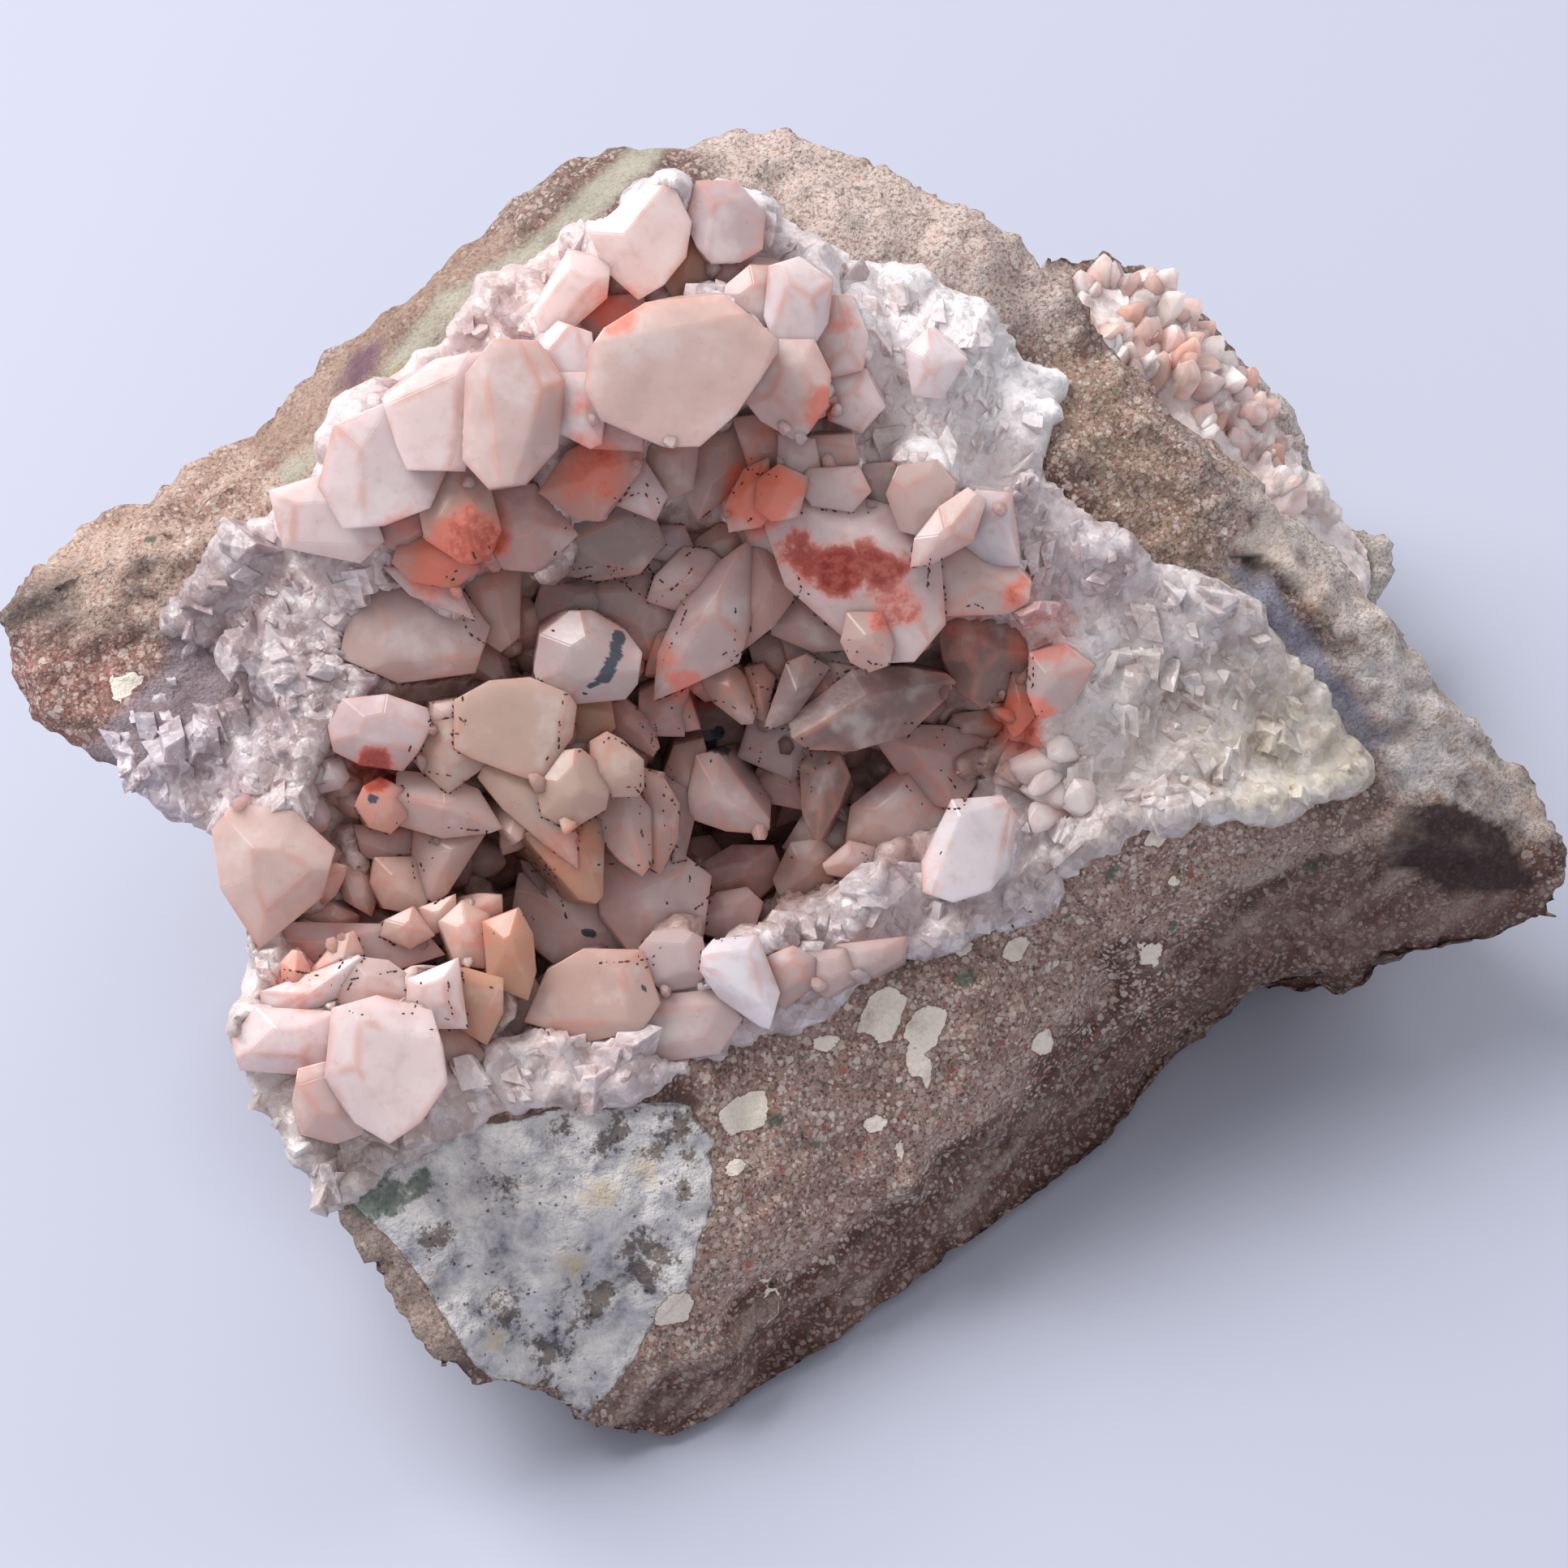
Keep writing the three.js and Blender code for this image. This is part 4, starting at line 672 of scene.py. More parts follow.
def crystal_mesh(length, form, random):
    """A closed crystal one millimetre wide, from z = 0 to its point."""
    width, r = 1.0, 0.5
    bm = bmesh.new()
    bmesh.ops.create_cube(bm, size=1)
    bmesh.ops.scale(bm, verts=bm.verts, vec=(4 * r, 4 * r, length))
    bmesh.ops.translate(bm, verts=bm.verts, vec=(0, 0, length / 2))
    skew = random.uniform(2, 8)
    if form == "spear":
        cone_faces(bm, (r * 0.9, 0), (r * 1.02, length * 0.4), skew, random)
        cone_faces(bm, (r * 1.02, length * 0.34), (r * 0.6, length * 0.72), skew, random)
        cone_faces(bm, (r * 0.6, length * 0.7), (0, length * 1.0), skew, random)
    else:
        shoulder = max(length * 0.36, length - width * 0.6)
        cone_faces(bm, (r * 0.95, 0), (r * 1.0, length * 0.3), skew, random)
        cone_faces(bm, (r * 1.0, length * 0.25), (r * 0.84, length), skew, random)
        cone_faces(bm, (r * 0.94, shoulder - r * 0.3), (r * 0.08, length), skew, random, only=0)
        cone_faces(bm, (r * 0.94, shoulder + r * 0.1), (r * 0.55, length), skew, random, only=1)
        cut(bm, (random.uniform(-0.4, 0.4), random.uniform(-0.4, 0.4), 1), length * 0.96)
    bmesh.ops.scale(bm, verts=bm.verts, vec=(1.06, random.uniform(0.78, 1.0), 1))
    return faceted(bm, 0, lambda co: 1 - fade(0.15, 0.5, co.z / length))


def faceted(bm, splits, rooted):
    """The finished mesh of a crystal. It keeps the distance of every spot from the nearest edge
    of its face as edge_mm, and how near it is to the root as rooted."""
    bmesh.ops.remove_doubles(bm, verts=bm.verts, dist=0.02)
    bmesh.ops.recalc_face_normals(bm, faces=bm.faces)
    layer = bm.loops.layers.float.new("edge_mm")
    near = bm.verts.layers.float.new("rooted")
    middles = set(bmesh.ops.poke(bm, faces=bm.faces, center_mode="MEAN_WEIGHTED")["verts"])
    for face in bm.faces:
        for loop in face.loops:
            if loop.vert in middles:
                a, b = (c.vert.co for c in face.loops if c is not loop)
                span = (a - b).length
                if span > 1e-6:
                    loop[layer] = (a - b).cross(loop.vert.co - b).length / span
    for _ in range(splits):
        bmesh.ops.subdivide_edges(bm, edges=bm.edges, cuts=1, use_grid_fill=True)
    for vert in bm.verts:
        vert[near] = rooted(vert.co)
    return mesh_of(bm, "crystal")


def outlined_crystal(row, crust, random):
    """A closed crystal in the mouth frame (millimetres) with a given outline as seen from the
    front, rooted in the crust: its mesh, root, point and width."""
    rim, rise, flat, point, _, outline = row
    hull = [Vector(outline[k]) for k in convex_hull_2d(outline)]
    middle = sum(hull, Vector((0, 0))) / len(hull)
    looks = [middle, *(middle.lerp(corner, 0.6) for corner in hull)]
    hits = [strike(crust, EYE, (u, v, -VIEW_DISTANCE))[0] for u, v in looks]
    ground = [hit.z for hit in hits if hit is not None]
    if ground:
        rim = max(rim, float(np.percentile(ground, 80)) + 0.5)
    depth = min(max(rim - min(ground, default=rim - 4) + 1.5, 3.5), 18)

    def at(place, z):
        return Vector((*(place * (1 - z / VIEW_DISTANCE)), z))

    ring = [at(corner + (corner - middle).normalized() * OUTLINE_GROWTH, rim) for corner in hull]
    centre = at(middle, rim)
    top = at(Vector(point), rim + rise)
    away = (centre - Vector(HOLLOW_HEART)).xy.normalized() * 0.25
    root = centre + Vector((*away, -1)) * depth
    bm = bmesh.new()
    bmesh.ops.create_cube(bm, size=60)
    bmesh.ops.translate(bm, verts=bm.verts, vec=centre)
    sides = [(a, b, (b - a).length) for a, b in zip(ring, ring[1:] + ring[:1])]
    shortest = sorted(span for *_, span in sides)[-min(len(sides), 3 if flat > 0.45 else 5)]
    for a, b, span in sides:
        for c in (root + (a - centre) * ROOT_SHARE, top if span >= shortest else a + Vector((0, 0, 1))):
            normal = (b - a).cross(c - a)
            if normal.dot((centre + root) / 2 - a) > 0:
                normal.negate()
            cut_at(bm, a, normal)
    if flat:
        tilt = Vector((random.uniform(-0.14, 0.14), random.uniform(-0.14, 0.14), 1))
        cut_at(bm, top - Vector((0, 0, rise * flat)), tilt)
    cut_at(bm, root, root - centre)
    width = max((a - b).length for a in ring for b in ring)
    splits = 4 if width > 12 else 3 if width > 6.5 else 2
    mesh = faceted(bm, splits, lambda co: fade(rim + 1.0, rim - 0.2, co.z))
    return mesh, root, top, width


def stand(mesh, root, tip, roll):
    """Puts a crystal mesh (millimetres, along z) between two points of the mouth frame."""
    root, tip = Vector(root), Vector(tip)
    aim = (tip - root).to_track_quat("Z", "Y").to_matrix().to_4x4()
    place = Matrix.Translation(root * MM) @ aim @ Matrix.Rotation(roll, 4, "Z")
    mesh.transform(MOUTH @ place @ Matrix.Scale(MM, 4))
    return mesh


def painted_hollow_shade(mouth):
    """Painted shade: how much darker and warmer the calcite's colour is made down in the hollow."""
    inside = fade(1.0, -4.0, edge_distance(from_front(mouth), HOLLOW_EDGE))
    depth = inside * fade(6.0, -7.0, mouth[:, 2])
    return 1 - depth[:, None] * np.array([0.2, 0.28, 0.3])


def sets_apart(crystals):
    """Sorts crystals (root, tip and width in millimetres) into sets whose members don't touch,
    because light that shines through a crystal only sees the piece that it belongs to."""
    shares = np.linspace(0, 1, 7)[:, None]
    sets = []
    for number, (root, tip, width) in enumerate(crystals):
        spots = np.array(root) + (np.array(tip) - np.array(root)) * shares
        for members in sets:
            gaps = (
                np.linalg.norm(spots[:, None] - other[None], axis=2).min() - (width + wide) / 2
                for _, other, wide in members
            )
            if all(gap > CRYSTAL_GAP for gap in gaps):
                members.append((number, spots, width))
                break
        else:
            sets.append([(number, spots, width)])
    return [[number for number, _, _ in members] for members in sets]


def crystal_sets(name, meshes, crystals, material):
    """Makes one piece of each set of crystals that don't touch."""
    for count, members in enumerate(sets_apart(crystals), 1):
        parts = [new_object("crystal", meshes[number]) for number in members]
        piece = joined(f"{name}_{count}", parts)
        write_colour(piece.data, "stain", stains_at(to_mouth(places(piece.data))))
        dress(piece, material, "calcite")


def pieces_of(name):
    return [o for o in bpy.context.scene.objects if o.name.startswith(name)]


def tone_layer(mesh, rgb, random):
    """Gives the whole crystal one tone, slightly its own, darkened by painted shade down in the hollow."""
    shade = 1 + random.normal(0, 0.05)
    warm = random.normal(0, 0.02)
    tone = linear(rgb) * np.array([shade * (1 + warm), shade, shade * (1 - warm)])
    write_colour(mesh, "tone", np.clip(tone * painted_hollow_shade(to_mouth(places(mesh))), 0, 0.95))


def stains_at(mouth):
    """Amounts of red, orange and dark inclusion at points of the mouth frame."""
    seen = from_front(mouth)
    wobble = np.stack([ripple(mouth, 3.1, 5), ripple(mouth, 3.1, 6)], -1) * 0.9
    wobble += np.stack([ripple(mouth, 1.2, 7), ripple(mouth, 1.2, 8)], -1) * 0.4
    spot = seen + wobble
    amounts = np.zeros((len(mouth), 3))
    for x, y, radius, redness, strength in STAINS:
        near = strength * (1 - fade(0.35, 1.15, away_from(spot, x, y, radius)))
        amounts[:, 0] = np.maximum(amounts[:, 0], near * redness)
        amounts[:, 1] = np.maximum(amounts[:, 1], near)
    for x, y, radius in INCLUSIONS:
        near = 1 - fade(0.5, 1.1, away_from(spot, x, y, radius))
        amounts[:, 2] = np.maximum(amounts[:, 2], near)
    return amounts


# ---- Materials ----

class Number:
    """A number that varies over a surface: one socket, with Python arithmetic."""

    def __init__(self, finish, socket):
        self.finish, self.socket = finish, socket

    def math(self, operation, *others, swap=False, clamp=False):
        values = [*others, self] if swap else [self, *others]
        settings = {"operation": operation, "use_clamp": clamp}
        return self.finish.number("ShaderNodeMath", settings, dict(enumerate(values)))

    def __add__(self, other):
        return self.math("ADD", other)

    def __radd__(self, other):
        return self.math("ADD", other, swap=True)

    def __sub__(self, other):
        return self.math("SUBTRACT", other)

    def __rsub__(self, other):
        return self.math("SUBTRACT", other, swap=True)

    def __mul__(self, other):
        return self.math("MULTIPLY", other)

    def __rmul__(self, other):
        return self.math("MULTIPLY", other, swap=True)

    def __truediv__(self, other):
        return self.math("DIVIDE", other)

    def least(self, other):
        return self.math("MINIMUM", other)

    def clamped(self):
        return self.math("ADD", 0.0, clamp=True)

    def fade(self, low, high):
        """0 below low, 1 above high, smooth between; low may be the larger one."""
        settings = {"interpolation_type": "SMOOTHSTEP"}
        if low > high:
            return 1 - self.fade(high, low)
        sockets = {"Value": self, "From Min": low, "From Max": high}
        return self.finish.number("ShaderNodeMapRange", settings, sockets)


class Finish:
    """The node tree of one material."""

    def __init__(self, name):
        self.material = bpy.data.materials.new(name)
        self.material.use_nodes = True
        self.tree = self.material.node_tree
        self.tree.nodes.clear()
        place = self.node("ShaderNodeTexCoord").outputs["Object"]
        self.mm = self.vector("SCALE", place, 1 / MM).outputs[0]

    def node(self, kind, settings=None, sockets=None):
        made = self.tree.nodes.new(kind)
        for key, value in (settings or {}).items():
            setattr(made, key, value)
        for key, value in (sockets or {}).items():
            if isinstance(key, str):
                socket = next(s for s in made.inputs if key in (s.identifier, s.name) and s.enabled)
            else:
                socket = made.inputs[key]
            if isinstance(value, Number):
                value = value.socket
            if isinstance(value, bpy.types.NodeSocket):
                self.tree.links.new(value, socket)
            else:
                socket.default_value = value
        return made

    def vector(self, operation, first, second):
        """Arithmetic on vectors; the second input is a number for SCALE."""
        sockets = {0: first, "Scale" if operation == "SCALE" else 1: second}
        return self.node("ShaderNodeVectorMath", {"operation": operation}, sockets)

    def number(self, kind, settings=None, sockets=None, output=0):
        return Number(self, self.node(kind, settings, sockets).outputs[output])

    def noise(self, size, detail=2.0, rough=0.5):
        """Cloudy noise from 0 to 1 with features of that size in millimetres."""
        sockets = {"Vector": self.mm, "Scale": 1 / size, "Detail": detail, "Roughness": rough}
        return self.number("ShaderNodeTexNoise", None, sockets)

    def cells(self, size, at):
        """Random cells of that size in millimetres."""
        return self.node("ShaderNodeTexVoronoi", None, {"Vector": at, "Scale": 1 / size})

    def shaken(self, size, amount):
        """The place in millimetres, shaken by noise."""
        noise = self.node("ShaderNodeTexNoise", None, {"Vector": self.mm, "Scale": 1 / size, "Detail": 2.0})
        half = self.vector("SUBTRACT", noise.outputs["Color"], (0.5, 0.5, 0.5))
        more = self.vector("SCALE", half.outputs[0], amount)
        return self.vector("ADD", self.mm, more.outputs[0]).outputs[0]

    def tilted(self, size, at):
        """Height over broken facets of that size, in millimetres, for a bump."""
        cells = self.cells(size, at)
        offset = self.vector("SUBTRACT", at, cells.outputs["Position"])
        away = self.vector("SUBTRACT", cells.outputs["Color"], (0.5, 0.5, 0.5))
        lean = self.vector("DOT_PRODUCT", offset.outputs[0], away.outputs[0])
        return Number(self, lean.outputs["Value"])

    def channel(self, colour, which):
        return self.number("ShaderNodeSeparateColor", None, {0: colour}, which)

    def attribute(self, name, output="Color"):
        return self.node("ShaderNodeAttribute", {"attribute_name": name}).outputs[output]

    def amount(self, name):
        return Number(self, self.attribute(name, "Fac"))

    def blend(self, factor, under, over):
        """One colour laid over another, as far as the factor says."""
        sockets = {"Factor_Float": factor, "A_Color": under, "B_Color": over}
        made = self.node("ShaderNodeMix", {"data_type": "RGBA"}, sockets)
        return next(s for s in made.outputs if s.identifier == "Result_Color")

    def ramp(self, factor, stops):
        made = self.node("ShaderNodeValToRGB", None, {0: factor})
        points = made.color_ramp.elements
        while len(points) < len(stops):
            points.new(1.0)
        for point, (at, colour) in zip(points, stops):
            point.position = at
            point.color = rgba(colour)
        return made.outputs["Color"]

    def bump(self, height, strength=1.0):
        """Bump from a height in millimetres."""
        sockets = {"Height": height, "Strength": strength, "Distance": MM}
        return self.node("ShaderNodeBump", None, sockets).outputs[0]

    def close(self, colour, roughness, normal, constants):
        """The finished material; constants are set on the shader's own sockets."""
        sockets = {**constants, "Base Color": colour, "Roughness": roughness, "Normal": normal}
        shader = self.node("ShaderNodeBsdfPrincipled", {"subsurface_method": "BURLEY"}, sockets)
        output = self.node("ShaderNodeOutputMaterial", None, {"Surface": shader.outputs[0]})
        output.is_active_output = True
        return self.material


CRYSTAL_GLOW = {
    "Subsurface Weight": 1.0,
    "Subsurface Radius": (1.0, 0.9, 0.84),
    "Subsurface Scale": 2.6 * MM,
    "IOR": 1.55,
}
CRUST_GLOW = {
    "Subsurface Weight": 0.6,
    "Subsurface Radius": (1.0, 0.9, 0.9),
    "Subsurface Scale": 0.5 * MM,
    "IOR": 1.5,
}


def calcite_finish(name, crystals):
    """Milky calcite with iron stains. Crystals have tinted edges, and broken calcite has small
    cleavage facets, with painted glints and painted shade on single facets, and painted shade down in the
    hollow."""
    f = Finish(name)
    colour = f.attribute("tone")
    cloud = f.noise(3.2, 3.0, 0.55)
    milk = f.noise(1.1, 4.0, 0.6)
    colour = f.blend(cloud.fade(0.5, 0.75) * 0.4, colour, rgba((236, 228, 226)))
    colour = f.blend(cloud.fade(0.5, 0.3) * 0.3, colour, rgba((170, 146, 140)))
    colour = f.blend(milk.fade(0.5, 0.3) * 0.25, colour, rgba((190, 158, 148)))
    stain = f.attribute("stain")
    red, orange, dark = (f.channel(stain, c) for c in ("Red", "Green", "Blue"))
    streak = f.noise(0.7, 3.0, 0.65)
    orange_mask = (orange + (streak - 0.5) * 0.9).fade(0.25, 0.95)
    red_mask = (red + (streak - 0.5) * 1.1).fade(0.45, 0.95)
    if crystals:
        edge = f.amount("edge_mm")
        rooted = f.amount("rooted")
        rim = edge.fade(0.6, 0.0) * f.noise(3.6).fade(0.42, 0.62) * 0.48
        colour = f.blend(rooted * 0.1 + rim, colour, rgba((206, 138, 120)))
    colour = f.blend(orange_mask * 0.8, colour, rgba((238, 122, 96)))
    colour = f.blend(red_mask * (streak.fade(0.7, 0.3) * 0.4 + 0.6), colour, rgba((142, 34, 26)))
    colour = f.blend(dark.fade(0.3, 0.7), colour, rgba((66, 70, 84)))
    if crystals:
        height = edge.least(0.09) * 0.3 + f.noise(1.8, 2.0) * 0.05 + f.noise(0.25, 3.0) * 0.012
        rough = 0.2 + f.noise(1.1, 3.0) * 0.24
        normal = f.bump(height)
    else:
        shaken = f.shaken(0.9, 0.3)
        marks = f.attribute("marks")
        sugar, deep = (f.channel(marks, c) for c in ("Red", "Green"))
        # Deep in the hollow the painted glints and the white veins are held back, as painted shade.
        lit = 1 - deep * 0.85
        vein = f.noise(0.9, 4.0, 0.7)
        # Single cleavage facets are made lighter or darker at random: painted glints and painted shade of
        # facets, lighter ones fewer in the hollow and darker ones fewer on white granular calcite.
        for size in (2.1, 0.8):
            cells = f.cells(size, shaken).outputs["Color"]
            shade = f.channel(cells, "Green")
            colour = f.blend(shade.fade(0.55, 1.0) * lit * 0.3, colour, rgba((244, 238, 240)))
            colour = f.blend(shade.fade(0.45, 0.0) * (1 - sugar) * 0.3, colour, rgba((146, 120, 114)))
        # White veins, held back in the hollow as painted shade, and white granular calcite.
        white = vein.fade(0.52, 0.7) * lit * 0.5 + sugar * 0.4
        colour = f.blend(white.clamped(), colour, rgba((248, 245, 248)))
        height = f.tilted(1.1, shaken) * 0.6 + f.tilted(0.38, shaken) * (0.3 + sugar * 0.3)
        rough = 0.2 + f.channel(cells, "Red") * 0.3
        normal = f.bump(height)
    return f.close(colour, rough, normal, CRYSTAL_GLOW if crystals else CRUST_GLOW)


def grain_finish(name):
    """Dark rusty grains."""
    f = Finish(name)
    colour = f.blend(f.noise(0.9).fade(0.45, 0.6), rgba((66, 42, 38)), rgba((112, 62, 50)))
    return f.close(colour, 0.45 + f.noise(0.1) * 0.3, f.bump(f.noise(0.06) * 0.02, 0.5), {})


def rock_finish(name):
    """Breccia: fine grains of many colours, cream clasts, a mottled grey clast and green spots."""
    f = Finish(name)
    colour = f.attribute("tone")
    marks = f.attribute("marks")
    grainy, mottled, green = (f.channel(marks, c) for c in ("Red", "Green", "Blue"))
    shaken = f.shaken(0.5, 0.35)
    patch = f.noise(5.0, 5.0, 0.6)
    colour = f.blend(patch.fade(0.5, 0.72) * 0.35, colour, rgba((196, 174, 160)))
    colour = f.blend(patch.fade(0.5, 0.3) * 0.35, colour, rgba((88, 64, 56)))
    fine = f.noise(0.28, 3.0, 0.75)
    colour = f.blend(fine.fade(0.54, 0.36) * (0.15 + grainy * 0.65), colour, rgba((66, 46, 42)))
    colour = f.blend(grainy * 0.35, colour, rgba((104, 62, 54)))
    # grains: light ones of two sizes, and a few red and green ones
    height = f.noise(0.9, 4.0, 0.7) * 0.3 + fine * 0.1
    grain_stops = [
        (0.0, (200, 176, 162)), (0.2, (222, 204, 194)), (0.45, (182, 148, 136)), (0.6, (236, 226, 216)),
        (0.8, (206, 190, 184)), (0.88, (178, 92, 76)), (0.94, (112, 136, 118)), (1.0, (90, 66, 58)),
    ]
    for size in (0.34, 0.6):
        cells = f.cells(size, shaken)
        pick, kind, share = (f.channel(cells.outputs["Color"], c) for c in ("Red", "Green", "Blue"))
        far = Number(f, cells.outputs["Distance"])
        radius = kind * 0.3 + 0.2
        grain = (far / radius).fade(1.3, 0.85) * share.fade(0.1, 0.16) * grainy
        colour = f.blend(grain * grainy * (0.5 + share * 0.45), colour, f.ramp(pick, grain_stops))
    # cream clasts with a thin rusty border
    speckle = f.noise(0.35, 4.0, 0.7)
    cream = f.blend(speckle.fade(0.42, 0.7) * 0.5, rgba((255, 244, 230)), rgba((234, 212, 194)))
    clast_mm = f.amount("clast_mm") + (f.noise(1.1, 4.0, 0.7) - 0.5) * 1.0
    clast = clast_mm.fade(0.04, -0.04)
    rim = clast_mm.fade(0.22, 0.0) * (1 - clast)
    # the large mottled clast
    patches = f.attribute("patches")
    dark, ochre = (f.channel(patches, c) for c in ("Red", "Green"))
    mottle = f.noise(2.0, 6.0, 0.66)
    clay = f.ramp(mottle, [
        (0.3, (140, 136, 146)), (0.42, (192, 189, 194)), (0.52, (220, 216, 216)), (0.66, (242, 239, 236)),
    ])
    clay = f.blend((ochre * 0.7 + (mottle - 0.5) * 2.0).fade(0.3, 0.8) * 0.55, clay, rgba((200, 176, 128)))
    ragged = f.noise(1.7, 7.0, 0.75)
    dark_patch = (dark * 0.48 + (ragged - 0.5) * 2.2).fade(0.26, 0.46)
    dark_clay = f.blend(mottle.fade(0.4, 0.6), rgba((84, 74, 72)), rgba((124, 108, 96)))
    clay = f.blend(dark_patch * 0.85, clay, dark_clay)
    dots = f.cells(0.75, shaken)
    dot = Number(f, dots.outputs["Distance"]).fade(0.2, 0.1)
    dot = dot * f.channel(dots.outputs["Color"], "Green").fade(0.5, 0.55)
    clay = f.blend(dot * 0.8, clay, rgba((52, 50, 58)))
    inside = (mottled + (f.noise(0.9, 3.0) - 0.5) * 0.12).fade(0.485, 0.515)
    border = (mottled - 0.52).math("ABSOLUTE").fade(0.05, 0.0) * f.noise(1.3, 4.0, 0.7).fade(0.44, 0.6)
    colour = f.blend(inside, colour, clay)
    colour = f.blend(border * 0.7, colour, rgba((104, 86, 80)))
    colour = f.blend(rim * 0.6, colour, rgba((112, 62, 50)))
    colour = f.blend(clast, colour, cream)
    teal = (green + (f.noise(0.7, 4.0, 0.7) - 0.5) * 1.2).fade(0.5, 0.85)
    colour = f.blend(teal * (0.4 + speckle * 0.7), colour, rgba((74, 96, 80)))
    height = height + f.noise(1.3, 3.0, 0.7) * (inside * 0.25 + 0.25) + clast * 0.08
    rough = 0.74 + f.noise(0.6, 2.0) * 0.22
    return f.close(colour, rough, f.bump(height), {"IOR": 1.5, "Specular IOR Level": 0.3})


def floor_finish(name, rgb):
    """A plain pale floor."""
    f = Finish(name)
    cloud = f.noise(160.0, 2.0)
    colour = f.blend(cloud.fade(0.3, 0.7) * 0.3, rgb, tuple(c * 0.96 for c in rgb[:3]) + (1.0,))
    return f.close(colour, 0.5 + cloud * 0.1, f.bump(f.noise(0.5, 2.0) * 0.004, 0.3), {})


# ---- Rock ----

def chips_aim(numbers, side):
    """The outward direction of one side of an angular clast, different in every cell."""
    axis = np.zeros((len(numbers), 3))
    axis[:, side % 3] = 1 if side < 3 else -1
    axis += numbers[:, (side % 3, (side + 1) % 3, 3)] * 0.9 - 0.45
    return axis / np.linalg.norm(axis, axis=1)[:, None]


# Regions of the rock as seen from the front: outline, colour, softness and grain.
ROCK_AREAS = [
    # top left slope
    ([(-36, 25), (-14, 45), (-9, 46), (-5, 47), (-30, 50), (-45, 30)], (180, 162, 154), 2.5, 0.9),
    # left wedge, tan and granular
    ([(-58, 13), (-46, 24), (-36, 27), (-30, 22), (-44, 11), (-56, 9)], (226, 198, 182), 2.5, 0.8),
    ([(-58, 15), (-50, 15), (-50, 9), (-58, 10)], (134, 122, 116), 1.5, 0.5),
    ([(-57, 9), (-44, 10), (-42, 2), (-50, 0), (-57, 4)], (182, 138, 130), 2.0, 0.9),
    # top right rim
    ([(-8, 48), (6, 48), (20, 38), (20, 30), (10, 35), (-2, 40)], (240, 222, 214), 2.0, 0.8),
    # right shoulder
    ([(18, 31), (24, 30), (33, 21), (34, 14), (28, 14), (17, 22)], (206, 186, 178), 1.2, 0.9),
    ([(28, 27), (36, 16), (46, 2), (56, -6), (50, 12), (36, 30)], (250, 242, 236), 2.0, 0.6),
    ([(38, 10), (48, 9), (49, -2), (43, -1)], (236, 230, 228), 2.0, 0.4),
    # lower right face, and the wing below it
    ([(-6, -20), (8, -14), (20, -7), (22, -3), (38, -3), (34, -12), (22, -20), (0, -38), (-14, -44)],
     (206, 178, 166), 2.0, 1.0),
    ([(34, -4), (46, -4), (56, -8), (56, -12), (30, -18), (28, -12)], (172, 158, 154), 2.0, 0.6),
    ([(30, -15), (54, -10), (54, -14), (30, -22)], (120, 98, 94), 2.0, 0.6),
    # dark margin above the mottled clast
    ([(-30, -25), (-22, -21.5), (-12.8, -20.5), (-5.5, -20), (-5.5, -22.8), (-13, -23.6), (-22, -25),
      (-29, -27)], (106, 80, 70), 0.5, 0.8),
    # dark layers under the lower right face, partly painted shade of the undercut
    ([(24, -16), (26, -20), (24, -30), (-10, -48), (-16, -46), (0, -36), (14, -25)], (104, 84, 80),
      1.5, 0.7),
    # pale strip below the left side
    ([(-38, -20), (-34, -22), (-29, -30), (-22, -40), (-26, -42), (-40, -24)], (178, 162, 152), 1.5, 0.6),
]
